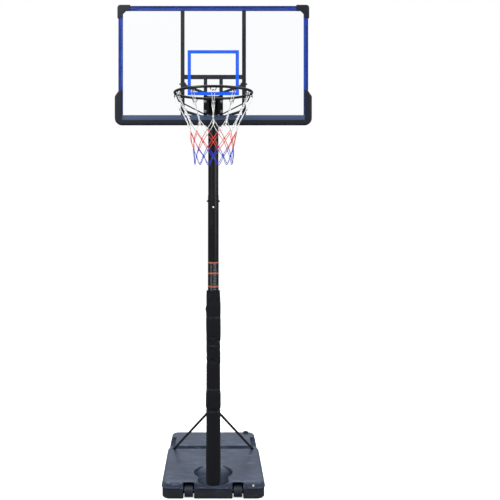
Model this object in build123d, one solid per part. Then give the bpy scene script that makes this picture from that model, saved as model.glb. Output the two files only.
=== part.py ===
from build123d import *
import math
import os

# Portable basketball hoop, in millimetres.
# The origin is on the floor under the pole's axis. +Z is up and -Y faces the player.

# Clearances
RUNNING_GAP = 0.05      # radial play of a pin that turns in its hole
TURN_GAP = 0.3          # play between a turning piece and a face beside it
SEAT_GAP = 0.3          # gap between a soft sleeve or filling and what carries it
THREAD_GAP = 0.1        # radial play of a bolt in a hole or nut

# Base tank
TANK_WIDTH = 740.0
TANK_LENGTH = 1110.0
TANK_HEIGHT = 125.0
TANK_FRONT = 50.0       # front edge, ahead of the pole's axis
TANK_WALL = 5.0
TANK_CORNER_R = 62.0
TANK_TOP_R = 26.0
FLANGE_Z = 77.0         # parting line between the lower and upper halves
FLANGE_T = 5.0
UPPER_INSET = 6.0
LOWER_INSET = 7.0
LOWER_CHAMFER = 16.0
REAR_STEP = 13.0        # the rear part is this much narrower on each side
REAR_STEP_Y = 640.0
REAR_STEP_RUN = 60.0
RECESS_R = 140.0        # round well behind the pole, with a throat that the pole stands in
RECESS_Y = 141.0
RECESS_FLOOR = 15.0
THROAT_HALF = 106.0
RAMP_FOOT_Y = 64.0      # the well's floor rises from here to its rear edge
LIP_Z = 94.0            # the front lip dips ahead of the pole
LIP_HALF = 67.0
LIP_SLOPE = 54.0
TROUGH_Y = 663.0        # cross trough that takes the struts' feet
TROUGH_WIDTH = 74.0
TROUGH_FLOOR = 62.0
INSERT_SIZE = 40.0      # solid moulding round each foot bolt
POCKET_Y = 800.0        # corner pockets that run back from the trough
POCKET_LENGTH = 220.0
POCKET_WIDTH = 34.0
POCKET_X = 325.0
POCKET_DEPTH = 30.0
OVAL_Y = 805.0
OVAL_LENGTH = 182.0
OVAL_WIDTH = 86.0
OVAL_DEPTH = 7.0
GRIP_WIDTH = 160.0      # hand grip at the rear edge
GRIP_REACH = 26.0
GRIP_DEPTH = 14.0
BALLAST_LEVEL = 60.0

# Wheels
WHEEL_D = 90.0
WHEEL_WIDTH = 60.0
WHEEL_X = 174.0
WHEEL_HUB_D = 30.0
WHEEL_RIM_T = 9.0
WHEEL_DISH = 17.0
NOTCH_TOP = 87.0        # brow cut in the upper shell over each wheel
NOTCH_BASE = 141.0
NOTCH_CEILING = 116.0
BROW_DEPTH = 9.0
NOTCH_GAP = 8.0         # round the wheel
AXLE_D = 12.0
AXLE_HOLE_GAP = 1.0
RETAINER_D = 20.0
RETAINER_T = 3.0
AXLE_OVERHANG = 3.0

# Fill cap and drain plug
CAP_X = 276.0
CAP_FROM_REAR = 52.0
CAP_D = 42.0
CAP_HEIGHT = 13.0
CAP_TOP_T = 3.0
NECK_D = 30.0
NECK_BORE = 21.0
NECK_HEIGHT = 7.5
SEAL_T = 2.0
GRIP_RIBS = 18
PLUG_X = 282.0
PLUG_Z = 97.0
PLUG_HEAD_D = 14.0
PLUG_HEAD_T = 3.5
PLUG_SHANK_D = 9.0
PLUG_SHANK = 9.0

# Pole
POLE_D = 76.2
POLE_WALL = 1.2
SLIDE_GAP = 0.4
UPPER_WALL = 1.6
POLE_ABOVE_LOCK = 39.0  # outer tube above the lock screws
POLE_SPLIT = 1080.0     # joint between the two outer sections
SLEEVE_HALF = 80.0
SLEEVE_WALL = 2.0
UPPER_BOTTOM = 1620.0
UPPER_ABOVE_BOLT = 19.0     # inner tube above the upper arms' bolt
GUIDE_HEIGHT = 30.0
GUIDE_FLANGE_T = 5.0
GUIDE_BORE = 24.0
TOP_CAP_T = 5.0
TOP_CAP_SKIRT = 20.0
PIN_HOLE_D = 12.0       # hole for a safety pin, through both tubes
PIN_BELOW_LOCK = 43.0
HEIGHT_HOLE_D = 10.0    # height holes, which face the lock screws
HEIGHT_PITCH = 150.0
HEIGHTS_BELOW = 3       # the head's steps below and above the height shown
HEIGHTS_ABOVE = 2
LOCK_Z = 2101.0
LOCK_D = 8.0
LOCK_BOSS_D = 15.0
LOCK_BOSS_T = 3.0
LOCK_HEAD_D = 13.0
LOCK_HEAD_T = 5.5
SCALE_BOTTOM = 1468.0   # wrapped height scale
SCALE_TOP = 1670.0
FILM_T = 0.3
PAD_D = 104.0           # pole pad
PAD_ABOVE_LIP = 2.0
PAD_TOP = 1466.0

# Struts
STRUT_D = 18.0
STRUT_WALL = 1.5
STRUT_LUG_T = 5.0
STRUT_LUG_WIDTH = 24.0
STRUT_LUG_LENGTH = 42.0
STRUT_TOP_Z = 609.0
STRUT_FOOT_X = 317.0
STRUT_FOOT_Z = 94.0
STRUT_ROOM = 4.0        # round the struts where they dip into the deck
STRUT_BOLT_D = 8.0

# Backboard
BOARD_REACH = 369.0     # pole axis to the sheet's front face
BOARD_WIDTH = 1250.0
BOARD_HEIGHT = 770.0
BOARD_BELOW_RIM = 137.0
SHEET_T = 3.0
RAIL_FACE = 28.0
RAIL_DEPTH = 22.0
RAIL_WALL = 1.5
UPRIGHT_X = 202.5
UPRIGHT_SIZE = 25.0
CROSS_ABOVE_RIM = 167.0
SHORT_SIZE = 23.0
TARGET_WIDTH = 338.0
TARGET_HEIGHT = 297.0
TARGET_LINE = 22.0
TARGET_ABOVE_RIM = 44.0
CORNER_WIDTH = 77.0     # corner protectors, from the board's edge
CORNER_PROUD = 6.0
CORNER_R = 20.0
CORNER_WALL = 3.0
CORNER_CUT = 38.0
FOAM_SIDE = 23.0        # bottom pad, beyond the frame's edges
FOAM_BELOW = 15.0
FOAM_BAND = 67.0
FOAM_ARM = 50.0
FOAM_RISE = 235.0
FOAM_R = 44.0
FOAM_CHAMFER = 32.0     # off the arms' outer top corners, across and down
FOAM_CHAMFER_DOWN = 45.0
FOAM_FRONT = 13.0       # thickness in front of the sheet
FOAM_BACK = 6.0
FOAM_SLOPE = 9.0
SCREW_D = 4.0
SCREW_HEAD_D = 8.5
SCREW_HEAD_T = 2.2
SCREW_LENGTH = 14.0
SCREWS_ACROSS = 5
SCREWS_UP = 4
SCREW_EDGE = 130.0

# Arms
ARM_D = 19.0
ARM_WALL = 1.6
ARM_LUG_T = 6.0
ARM_LUG_WIDTH = 24.0
ARM_BEND_R = 60.0
ARM_BOLT_D = 8.0
ARM_SPACER_D = 26.0
ARM_SIDE = 43.0         # inner face of the arms at the pole
ARM_DROP = 68.0         # pole end below the board end
UPPER_ARM_ABOVE_RIM = 121.0
LOWER_ARM_BELOW_RIM = 48.0
ARM_KNEE_X = 60.0
ARM_KNEE_Y = 190.0
ARM_ELBOW_X = 158.0
ARM_ELBOW_Y = 290.0

# Rim
RIM_HEIGHT = 2750.0
RIM_INNER_D = 450.0
RIM_ROD_D = 16.0
RIM_REACH = 375.0       # sheet's front face to the ring's centre
BRACKET_WIDTH = 128.0
BRACKET_BELOW = 84.0
BRACKET_ABOVE = 40.0
BRACKET_T = 4.0
CHANNEL_WIDTH = 60.0
CHANNEL_T = 3.0
CHANNEL_NOSE = 11.0
BRACE_D = 8.0
BRACE_BEND_R = 25.0
BRACE_BEND_ANGLE = 26.0     # round the ring, from its right end towards the board
BRACE_BEND_BELOW = 35.0
BRACE_END_ANGLE = 15.0
RIM_BOLT_X = 51.5
RIM_BOLT_D = 10.0
RIM_BOLT_LOW = 64.0     # lower bolts below the upper ones
RIM_DOME_D = 22.0
RIM_DOME_T = 6.0
HOOKS = 12
HOOK_WIRE = 5.0
HOOK_HALF = 18.0
HOOK_DROP = 21.0
HOOK_BEND_R = 4.0

# Net
NET_BOTTOM_BELOW_RIM = 430.0
NET_WAIST_R = 143.0
NET_WAIST_BELOW_RIM = 235.0
NET_BOTTOM_R = 117.0
NET_T = 5.0

# Nuts and bolt heads
HEX_WIDTH = 15.0
HEX_T = 6.0
NUT_T = 7.0

# Places that follow from the sizes above
UPPER_D = POLE_D - 2 * POLE_WALL - 2 * SLIDE_GAP
SHEET_FRONT = -BOARD_REACH
SHEET_BACK = SHEET_FRONT + SHEET_T
RAIL_BACK = SHEET_BACK + RAIL_DEPTH
BOARD_BOTTOM = RIM_HEIGHT - BOARD_BELOW_RIM
BOARD_TOP = BOARD_BOTTOM + BOARD_HEIGHT
BOARD_HALF = BOARD_WIDTH / 2
RING_R = (RIM_INNER_D + RIM_ROD_D) / 2
RING_Y = SHEET_FRONT - RIM_REACH
TANK_FRONT_Y = -TANK_FRONT
PAD_BOTTOM = LIP_Z + PAD_ABOVE_LIP
TANK_REAR_Y = TANK_LENGTH - TANK_FRONT
AXLE_Z = WHEEL_D / 2
WHEEL_OUTER_X = WHEEL_X + WHEEL_WIDTH / 2
CAP_Y = TANK_REAR_Y - CAP_FROM_REAR
PLUG_SEAT_Y = TANK_FRONT_Y + UPPER_INSET
INSERT_X = STRUT_FOOT_X + STRUT_LUG_T / 2
UPPER_ARM_Z = RIM_HEIGHT + UPPER_ARM_ABOVE_RIM
LOWER_ARM_Z = RIM_HEIGHT - LOWER_ARM_BELOW_RIM
POLE_TOP = LOCK_Z + POLE_ABOVE_LOCK
UPPER_TOP = UPPER_ARM_Z - ARM_DROP + UPPER_ABOVE_BOLT
PIN_HOLE_Z = LOCK_Z - PIN_BELOW_LOCK
ARM_BOLT_Y = SHEET_BACK + UPRIGHT_SIZE / 2
RIM_BOLT_ROWS = [RIM_HEIGHT, RIM_HEIGHT - RIM_BOLT_LOW]


# ---- Shapes used throughout ----
def block(low, high):
    """A block between two corners."""
    size = [b - a for a, b in zip(low, high)]
    centre = [(a + b) / 2 for a, b in zip(low, high)]
    return Pos(*centre) * Box(*size)


def tube_block(low, high, wall, axis):
    """A rectangular tube between two corners, open at both ends of axis 0, 1 or 2."""
    inner_low = [value + wall for value in low]
    inner_high = [value - wall for value in high]
    inner_low[axis] = low[axis] - wall
    inner_high[axis] = high[axis] + wall
    return block(low, high) - block(inner_low, inner_high)


def rod(start, end, diameter, bore=0.0):
    """A round bar, or a tube if it has a bore, between two points."""
    line = Vector(*end) - Vector(*start)
    profile = Circle(diameter / 2)
    if bore > 0:
        profile = profile - Circle(bore / 2)
    return extrude(Plane(origin=start, z_dir=line) * profile, line.length)


def bent_tube(points, radii, diameter, wall):
    """A round tube, or a bar if it has no wall, along straight runs joined by arcs."""
    path = FilletPolyline(*points, radius=radii)
    profile = Circle(diameter / 2)
    if wall > 0:
        profile = profile - Circle(diameter / 2 - wall)
    return sweep(Plane(origin=path @ 0, z_dir=path % 0) * profile, path=path)


def hex_bolt(seat, tip, diameter):
    """A bolt whose hexagon head stands on seat and whose shank ends at tip."""
    outward = Vector(*seat) - Vector(*tip)
    head = extrude(Plane(origin=seat, z_dir=outward) * RegularPolygon(HEX_WIDTH / 2, 6), HEX_T)
    return head + rod(seat, tip, diameter)


def hex_nut(seat, outward, diameter):
    """A nut that stands on seat, with its thread along outward."""
    profile = RegularPolygon(HEX_WIDTH / 2, 6) - Circle(diameter / 2 + THREAD_GAP)
    return extrude(Plane(origin=seat, z_dir=outward) * profile, NUT_T)


def hole(start, end, diameter):
    """The cutter of a bolt hole."""
    return rod(start, end, diameter + 2 * THREAD_GAP)


def lug(centre, along, width, length, thickness, bolt_d):
    """A flattened tube end: a plate across X, round at its bolt hole, that runs along YZ."""
    angle = math.degrees(math.atan2(along[1], along[0]))
    profile = Circle(width / 2) + Pos(length / 2, 0) * Rectangle(length, width)
    profile = profile - Circle(bolt_d / 2 + THREAD_GAP)
    plate = extrude(Plane.YZ * (Rot(0, 0, angle) * profile), thickness / 2, both=True)
    return Pos(*centre) * plate


def mirrored(shape):
    """The same piece on the other side of the pole."""
    return mirror(shape, about=Plane.YZ)


def group(shapes):
    """Like pieces that share one node."""
    return Compound(children=list(shapes))


# ---- Base ----
def tank_outline(inset):
    """The tank's plan, inset all round."""
    wide = TANK_WIDTH / 2 - inset
    narrow = wide - REAR_STEP
    front = TANK_FRONT_Y + inset
    rear = TANK_REAR_Y - inset
    step_end = REAR_STEP_Y + REAR_STEP_RUN
    right = [(wide, front), (wide, REAR_STEP_Y), (narrow, step_end), (narrow, rear)]
    left = [(-x, y) for x, y in reversed(right)]
    plan = make_face(Polyline(*right, *left, close=True))
    rows = plan.vertices().group_by(Axis.Y)
    return fillet(rows[0] + rows[-1], TANK_CORNER_R - inset)


def slab(plan, bottom, top):
    """A plan extruded between two heights."""
    return Pos(0, 0, bottom) * extrude(plan, top - bottom)


def notch(grow):
    """The right wheel's slot, and the brow over it in the upper shell, grown by a wall."""
    ceiling = NOTCH_CEILING + grow
    front = TANK_FRONT_Y - TANK_WALL
    half = WHEEL_WIDTH / 2 + NOTCH_GAP + grow
    rear = WHEEL_D / 2 + NOTCH_GAP + grow
    slot = block((WHEEL_X - half, front, -TANK_WALL), (WHEEL_X + half, rear, ceiling))
    base = NOTCH_BASE / 2 + grow
    top = NOTCH_TOP / 2 + grow
    foot = FLANGE_Z - FLANGE_T / 2 - grow
    profile = make_face(Polyline(
        (-base, foot), (base, foot), (base, FLANGE_Z), (top, ceiling), (-top, ceiling),
        (-base, FLANGE_Z), close=True))
    depth = TANK_FRONT_Y + BROW_DEPTH + grow - front
    brow = Pos(WHEEL_X, front, 0) * extrude(Plane.XZ * profile, -depth)
    return slot + brow


def well(grow):
    """The pole's well, whose floor rises as a ramp to its rear edge, grown by a wall."""
    above = TANK_HEIGHT + TANK_WALL
    floor = RECESS_FLOOR if grow == 0 else -TANK_WALL
    rear_y = RECESS_Y + RECESS_R
    throat = block((-THROAT_HALF - grow, TANK_FRONT_Y + UPPER_INSET + TANK_WALL - grow, floor),
                   (THROAT_HALF + grow, RECESS_Y, above))
    space = throat + Pos(0, RECESS_Y, floor) * extrude(Circle(RECESS_R + grow), above - floor)
    slope = math.atan2(TANK_HEIGHT - RECESS_FLOOR, rear_y - RAMP_FOOT_Y)
    drop = grow / math.cos(slope)
    foot_y = RAMP_FOOT_Y + (floor - RECESS_FLOOR + drop) / math.tan(slope)
    far_y = rear_y + RECESS_R
    far_z = TANK_HEIGHT + (far_y - rear_y) * math.tan(slope) - drop
    ramp = make_face(Polyline((foot_y, floor), (far_y, floor), (far_y, far_z), close=True))
    wedge = extrude(Plane.YZ * ramp, RECESS_R + 2 * TANK_WALL, both=True)
    return space - wedge


def tank_cutters(grow):
    """Everything moulded into the deck, grown by a wall where it meets the cavity."""
    above = TANK_HEIGHT + TANK_WALL
    right_notch = notch(grow)
    axle_end = WHEEL_OUTER_X + RETAINER_T + AXLE_OVERHANG
    axle_hole_d = AXLE_D + 2 * AXLE_HOLE_GAP + 2 * grow
    axle_hole = rod((-axle_end, 0, AXLE_Z), (axle_end, 0, AXLE_Z), axle_hole_d)
    half = TROUGH_WIDTH / 2 + grow
    trough = block((-INSERT_X - grow, TROUGH_Y - half, TROUGH_FLOOR - grow),
                   (INSERT_X + grow, TROUGH_Y + half, above))
    oval = Pos(0, OVAL_Y, TANK_HEIGHT - OVAL_DEPTH - grow) * extrude(
        SlotOverall(OVAL_LENGTH + 2 * grow, OVAL_WIDTH + 2 * grow), OVAL_DEPTH + 2 * grow)
    pocket_x = POCKET_WIDTH / 2 + grow
    pocket_y = POCKET_LENGTH / 2 + grow
    pocket = block((POCKET_X - pocket_x, POCKET_Y - pocket_y, TANK_HEIGHT - POCKET_DEPTH - grow),
                   (POCKET_X + pocket_x, POCKET_Y + pocket_y, above))
    grip = block((-GRIP_WIDTH / 2 - grow, TANK_REAR_Y - GRIP_REACH - grow,
                  TANK_HEIGHT - GRIP_DEPTH - grow),
                 (GRIP_WIDTH / 2 + grow, TANK_REAR_Y + TANK_WALL, above))
    dip_half = LIP_HALF + LIP_SLOPE
    dip = make_face(Polyline(
        (-LIP_HALF - grow, LIP_Z - grow), (LIP_HALF + grow, LIP_Z - grow),
        (dip_half + grow, TANK_HEIGHT), (dip_half + grow, above), (-dip_half - grow, above),
        (-dip_half - grow, TANK_HEIGHT), close=True))
    lip = Pos(0, TANK_FRONT_Y - TANK_WALL, 0) * extrude(Plane.XZ * dip, -TANK_FRONT)
    _, _, strut_top, strut_end = strut_line()
    saddle = rod(strut_end, strut_top, STRUT_D + 2 * STRUT_ROOM + 2 * grow)
    return [well(grow), right_notch, mirrored(right_notch), axle_hole, trough, oval, pocket,
            mirrored(pocket), grip, lip, saddle, mirrored(saddle)]


def foot_insert(grow):
    """The solid moulding at the trough's right end that takes a foot bolt."""
    half = INSERT_SIZE / 2 + grow
    return block((INSERT_X - TANK_WALL, TROUGH_Y - half, -TANK_WALL),
                 (TANK_WIDTH / 2, TROUGH_Y + half, TANK_HEIGHT))


def neck_solid(grow):
    """The column round the fill neck's bore, left solid in the deck."""
    return Pos(CAP_X, CAP_Y, TANK_HEIGHT - TANK_WALL - grow) * extrude(
        Circle(NECK_D / 2), TANK_WALL + grow + NECK_HEIGHT)


def tank_cavity(play):
    """The tank's inside, smaller by a play all round."""
    wall = TANK_WALL + play
    lower = slab(tank_outline(LOWER_INSET + wall + LOWER_CHAMFER / 2), wall, FLANGE_Z)
    upper = slab(tank_outline(UPPER_INSET + wall), FLANGE_Z - FLANGE_T / 2 + wall,
                 TANK_HEIGHT - wall)
    upper = fillet(upper.faces().sort_by(Axis.Z)[-1].edges(), TANK_TOP_R - wall)
    space = lower + upper
    for cutter in tank_cutters(wall):
        space = space - cutter
    insert = foot_insert(play)
    return space - insert - mirrored(insert)


def base_tank():
    """The blow-moulded tank, hollow, with its wells, notches and trough."""
    lower = slab(tank_outline(LOWER_INSET), 0, FLANGE_Z)
    lower = chamfer(lower.faces().sort_by(Axis.Z)[0].edges(), LOWER_CHAMFER / 2)
    flange = slab(tank_outline(0), FLANGE_Z - FLANGE_T / 2, FLANGE_Z + FLANGE_T / 2)
    upper = slab(tank_outline(UPPER_INSET), FLANGE_Z, TANK_HEIGHT)
    upper = fillet(upper.faces().sort_by(Axis.Z)[-1].edges(), TANK_TOP_R)
    tank = lower + flange + upper
    for cutter in tank_cutters(0):
        tank = tank - cutter
    tank = tank - tank_cavity(0) + neck_solid(0)
    fill_top = TANK_HEIGHT + NECK_HEIGHT + TANK_WALL
    tank = tank - rod((CAP_X, CAP_Y, FLANGE_Z + TANK_WALL), (CAP_X, CAP_Y, fill_top), NECK_BORE)
    drain = rod((PLUG_X, TANK_FRONT_Y - TANK_WALL, PLUG_Z),
                (PLUG_X, PLUG_SEAT_Y + 2 * PLUG_SHANK, PLUG_Z), PLUG_SHANK_D + 2 * RUNNING_GAP)
    bolt_end = INSERT_X + INSERT_SIZE / 2 + STRUT_BOLT_D / 2
    bolts = hole((-bolt_end, TROUGH_Y, STRUT_FOOT_Z), (bolt_end, TROUGH_Y, STRUT_FOOT_Z),
                 STRUT_BOLT_D)
    return tank - drain - bolts


def sand_ballast():
    """The filling of the main chamber, level in the tank's lower part."""
    top = block((-TANK_WIDTH, -TANK_LENGTH, BALLAST_LEVEL),
                (TANK_WIDTH, 2 * TANK_LENGTH, 2 * TANK_HEIGHT))
    filling = tank_cavity(SEAT_GAP) - top
    return filling.solids().sort_by(SortBy.VOLUME)[-1]


def fill_cap():
    """Screw cap with grip ribs round its skirt."""
    bottom = TANK_HEIGHT + TURN_GAP
    cap = Pos(CAP_X, CAP_Y, bottom) * extrude(Circle(CAP_D / 2), CAP_HEIGHT)
    cap = fillet(cap.faces().sort_by(Axis.Z)[-1].edges(), CAP_TOP_T / 2)
    bore = Pos(CAP_X, CAP_Y, bottom - CAP_TOP_T) * extrude(
        Circle(NECK_D / 2 + TURN_GAP), CAP_HEIGHT)
    groove = Pos(CAP_D / 2, 0, 0) * Cylinder(CAP_TOP_T / 4, CAP_HEIGHT * 2)
    grooves = [Rot(0, 0, i * 360 / GRIP_RIBS) * groove for i in range(GRIP_RIBS)]
    return cap - bore - Pos(CAP_X, CAP_Y, bottom) * group(grooves)


def cap_seal():
    """Flat ring inside the cap, on top of the neck."""
    top = TANK_HEIGHT + TURN_GAP + CAP_HEIGHT - CAP_TOP_T
    ring = Circle(NECK_D / 2) - Circle(NECK_BORE / 2)
    return Pos(CAP_X, CAP_Y, top - SEAL_T) * extrude(ring, SEAL_T)


def drain_plug():
    """Small screw plug with a slotted head, low on the tank's front."""
    seat = PLUG_SEAT_Y - TURN_GAP
    head = rod((PLUG_X, seat, PLUG_Z), (PLUG_X, seat - PLUG_HEAD_T, PLUG_Z), PLUG_HEAD_D)
    shank = rod((PLUG_X, seat, PLUG_Z), (PLUG_X, seat + PLUG_SHANK, PLUG_Z), PLUG_SHANK_D)
    slot_half = PLUG_HEAD_D / 14
    slot = block((PLUG_X - PLUG_HEAD_D, seat - 2 * PLUG_HEAD_T, PLUG_Z - slot_half),
                 (PLUG_X + PLUG_HEAD_D, seat - PLUG_HEAD_T / 2, PLUG_Z + slot_half))
    return head + shank - slot


# ---- Wheels ----
def wheel():
    """The right wheel: a roller with dished sides and two grooves in its tread."""
    inner = WHEEL_X - WHEEL_WIDTH / 2
    body = rod((inner, 0, AXLE_Z), (WHEEL_OUTER_X, 0, AXLE_Z), WHEEL_D)
    body = fillet(body.edges().filter_by(GeomType.CIRCLE), WHEEL_RIM_T / 2)
    dish_outer = WHEEL_D - 2 * WHEEL_RIM_T
    for start, end in ((inner, inner + WHEEL_DISH), (WHEEL_OUTER_X - WHEEL_DISH, WHEEL_OUTER_X)):
        body = body - rod((start, 0, AXLE_Z), (end, 0, AXLE_Z), dish_outer, WHEEL_HUB_D)
    for x in (WHEEL_X - WHEEL_WIDTH / 6, WHEEL_X + WHEEL_WIDTH / 6):
        body = body - rod((x - 1, 0, AXLE_Z), (x + 1, 0, AXLE_Z), WHEEL_D + 2, WHEEL_D - 3)
    reach = WHEEL_WIDTH
    bore_d = AXLE_D + 2 * RUNNING_GAP
    return body - rod((WHEEL_X - reach, 0, AXLE_Z), (WHEEL_X + reach, 0, AXLE_Z), bore_d)


def wheel_axle():
    """Steel rod through both wheels and the pole's foot."""
    end = WHEEL_OUTER_X + TURN_GAP + RETAINER_T + AXLE_OVERHANG
    axle = rod((-end, 0, AXLE_Z), (end, 0, AXLE_Z), AXLE_D)
    return chamfer(axle.edges().filter_by(GeomType.CIRCLE), AXLE_OVERHANG / 3)


def axle_retainers():
    """Push nuts outside both wheels."""
    start = WHEEL_OUTER_X + TURN_GAP
    right = rod((start, 0, AXLE_Z), (start + RETAINER_T, 0, AXLE_Z), RETAINER_D,
                AXLE_D + 2 * THREAD_GAP)
    return group([right, mirrored(right)])


# ---- Pole ----
def outer_section(bottom, top):
    """A length of the outer pole."""
    return rod((0, 0, bottom), (0, 0, top), POLE_D, POLE_D - 2 * POLE_WALL)


def lower_pole():
    """Outer section in the tank's well, with holes for the axle and the strut bolt."""
    tube = outer_section(RECESS_FLOOR, POLE_SPLIT)
    for z, diameter in ((AXLE_Z, AXLE_D), (STRUT_TOP_Z, STRUT_BOLT_D)):
        tube = tube - hole((-POLE_D, 0, z), (POLE_D, 0, z), diameter)
    return tube


def middle_pole():
    """Outer section above the joint, with the pin hole and the lock screws' bosses."""
    tube = outer_section(POLE_SPLIT, POLE_TOP)
    boss_end = POLE_D / 2 + LOCK_BOSS_T
    boss = rod((UPPER_D / 2, 0, LOCK_Z), (boss_end, 0, LOCK_Z), LOCK_BOSS_D)
    clear = rod((0, 0, LOCK_Z - POLE_D), (0, 0, LOCK_Z + POLE_D), POLE_D - 2 * POLE_WALL)
    boss = boss - clear
    tube = tube + boss + mirrored(boss)
    tube = tube - rod((-POLE_D, 0, LOCK_Z), (POLE_D, 0, LOCK_Z), LOCK_D + 2 * RUNNING_GAP)
    return tube - rod((0, -POLE_D, PIN_HOLE_Z), (0, POLE_D, PIN_HOLE_Z), PIN_HOLE_D)


def joint_sleeve():
    """Sleeve inside the outer sections' joint."""
    outer = POLE_D - 2 * POLE_WALL - 2 * THREAD_GAP
    return rod((0, 0, POLE_SPLIT - SLEEVE_HALF), (0, 0, POLE_SPLIT + SLEEVE_HALF), outer,
               outer - 2 * SLEEVE_WALL)


def upper_pole():
    """Inner tube that slides in the outer pole and carries the arms."""
    tube = rod((0, 0, UPPER_BOTTOM), (0, 0, UPPER_TOP), UPPER_D, UPPER_D - 2 * UPPER_WALL)
    for step in range(-HEIGHTS_ABOVE, HEIGHTS_BELOW + 1):
        z = LOCK_Z + step * HEIGHT_PITCH
        tube = tube - rod((-POLE_D, 0, z), (POLE_D, 0, z), HEIGHT_HOLE_D)
    tube = tube - rod((0, -POLE_D, PIN_HOLE_Z), (0, POLE_D, PIN_HOLE_Z), PIN_HOLE_D)
    for z in (UPPER_ARM_Z - ARM_DROP, LOWER_ARM_Z - ARM_DROP):
        tube = tube - hole((-POLE_D, 0, z), (POLE_D, 0, z), ARM_BOLT_D)
    return tube


def guide_plug():
    """Plastic guide in the foot of the inner tube."""
    flange = rod((0, 0, UPPER_BOTTOM - GUIDE_FLANGE_T), (0, 0, UPPER_BOTTOM), UPPER_D,
                 GUIDE_BORE)
    bore_d = UPPER_D - 2 * UPPER_WALL
    plug = rod((0, 0, UPPER_BOTTOM), (0, 0, UPPER_BOTTOM + GUIDE_HEIGHT),
               bore_d - 2 * THREAD_GAP, GUIDE_BORE)
    return flange + plug


def pole_top_cap():
    """Plastic cap in the top of the inner tube."""
    disc = rod((0, 0, UPPER_TOP), (0, 0, UPPER_TOP + TOP_CAP_T), UPPER_D)
    disc = fillet(disc.faces().sort_by(Axis.Z)[-1].edges(), TOP_CAP_T / 2)
    bore_d = UPPER_D - 2 * UPPER_WALL
    skirt = rod((0, 0, UPPER_TOP - TOP_CAP_SKIRT), (0, 0, UPPER_TOP), bore_d - 2 * THREAD_GAP,
                bore_d - 4 * UPPER_WALL)
    bolt_z = UPPER_ARM_Z - ARM_DROP
    return disc + skirt - hole((-POLE_D, 0, bolt_z), (POLE_D, 0, bolt_z), ARM_BOLT_D + 2)


def lock_screw():
    """The right lock screw, backed off just clear of the inner tube."""
    tip = UPPER_D / 2 + TURN_GAP
    seat = POLE_D / 2 + LOCK_BOSS_T + TURN_GAP
    shank = rod((tip, 0, LOCK_Z), (seat, 0, LOCK_Z), LOCK_D)
    tip_clear = rod((0, 0, LOCK_Z - POLE_D), (0, 0, LOCK_Z + POLE_D), UPPER_D + 2 * TURN_GAP)
    head = extrude(Plane(origin=(seat, 0, LOCK_Z), z_dir=(1, 0, 0))
                   * RegularPolygon(LOCK_HEAD_D / 2, 6), LOCK_HEAD_T)
    return shank - tip_clear + head


def height_scale():
    """Film wrapped round the front of the pole, above the pad."""
    inner = POLE_D + 2 * RUNNING_GAP
    ring = rod((0, 0, SCALE_BOTTOM), (0, 0, SCALE_TOP), inner + 2 * FILM_T, inner)
    back = block((-POLE_D, POLE_D / 8, SCALE_BOTTOM - 1), (POLE_D, POLE_D, SCALE_TOP + 1))
    return ring - back


# ---- Struts ----
def strut_line():
    """Where the right strut's tube starts and ends."""
    run_y = TROUGH_Y
    run_z = STRUT_FOOT_Z - STRUT_TOP_Z
    length = math.hypot(run_y, run_z)
    along = (run_y / length, run_z / length)
    lug_x = POLE_D / 2 + STRUT_LUG_T / 2
    reach = STRUT_LUG_LENGTH
    start = (lug_x + STRUT_LUG_T / 2, along[0] * reach, STRUT_TOP_Z + along[1] * reach)
    back = STRUT_LUG_WIDTH
    end = (STRUT_FOOT_X, TROUGH_Y - along[0] * back, STRUT_FOOT_Z - along[1] * back)
    return along, lug_x, start, end


def strut():
    """The right strut: a tube with flattened, bolted ends."""
    along, lug_x, start, end = strut_line()
    tube = rod(start, end, STRUT_D, STRUT_D - 2 * STRUT_WALL)
    top = lug((lug_x, 0, STRUT_TOP_Z), along, STRUT_LUG_WIDTH, STRUT_LUG_LENGTH + STRUT_WALL,
              STRUT_LUG_T, STRUT_BOLT_D)
    back = (-along[0], -along[1])
    foot = lug((STRUT_FOOT_X, TROUGH_Y, STRUT_FOOT_Z), back, STRUT_LUG_WIDTH,
               STRUT_LUG_WIDTH + STRUT_WALL, STRUT_LUG_T, STRUT_BOLT_D)
    return tube + top + foot


def strut_bolt():
    """Long bolt through the pole and both struts' upper ends, with its nut."""
    face = POLE_D / 2 + STRUT_LUG_T
    bolt = hex_bolt((face, 0, STRUT_TOP_Z), (-face - NUT_T, 0, STRUT_TOP_Z), STRUT_BOLT_D)
    nut = hex_nut((-face, 0, STRUT_TOP_Z), (-1, 0, 0), STRUT_BOLT_D)
    return group([bolt, nut])


def foot_bolts():
    """Bolts through the struts' feet into the tank's inserts."""
    seat = STRUT_FOOT_X - STRUT_LUG_T / 2
    tip = INSERT_X + INSERT_SIZE / 2
    right = hex_bolt((seat, TROUGH_Y, STRUT_FOOT_Z), (tip, TROUGH_Y, STRUT_FOOT_Z), STRUT_BOLT_D)
    return group([right, mirrored(right)])


def pole_pad():
    """Soft sleeve round the lower pole, slit where the struts leave it."""
    sleeve = rod((0, 0, PAD_BOTTOM), (0, 0, PAD_TOP), PAD_D, POLE_D + 2 * SEAT_GAP)
    along, lug_x, start, end = strut_line()
    room = rod(start, end, STRUT_D + 4 * SEAT_GAP)
    cover = (PAD_D / 2 + POLE_D / 2 + STRUT_LUG_T + HEX_T) / 2
    bolt_room = rod((-cover, 0, STRUT_TOP_Z), (cover, 0, STRUT_TOP_Z),
                    STRUT_LUG_WIDTH + 4 * SEAT_GAP)
    width = STRUT_LUG_WIDTH + 4 * SEAT_GAP
    lug_room = lug((lug_x, 0, STRUT_TOP_Z), along, width, STRUT_LUG_LENGTH + STRUT_D,
                   STRUT_LUG_T + 4 * SEAT_GAP, 0)
    for cutter in (room, lug_room):
        sleeve = sleeve - cutter - mirrored(cutter)
    return sleeve - bolt_room


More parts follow.
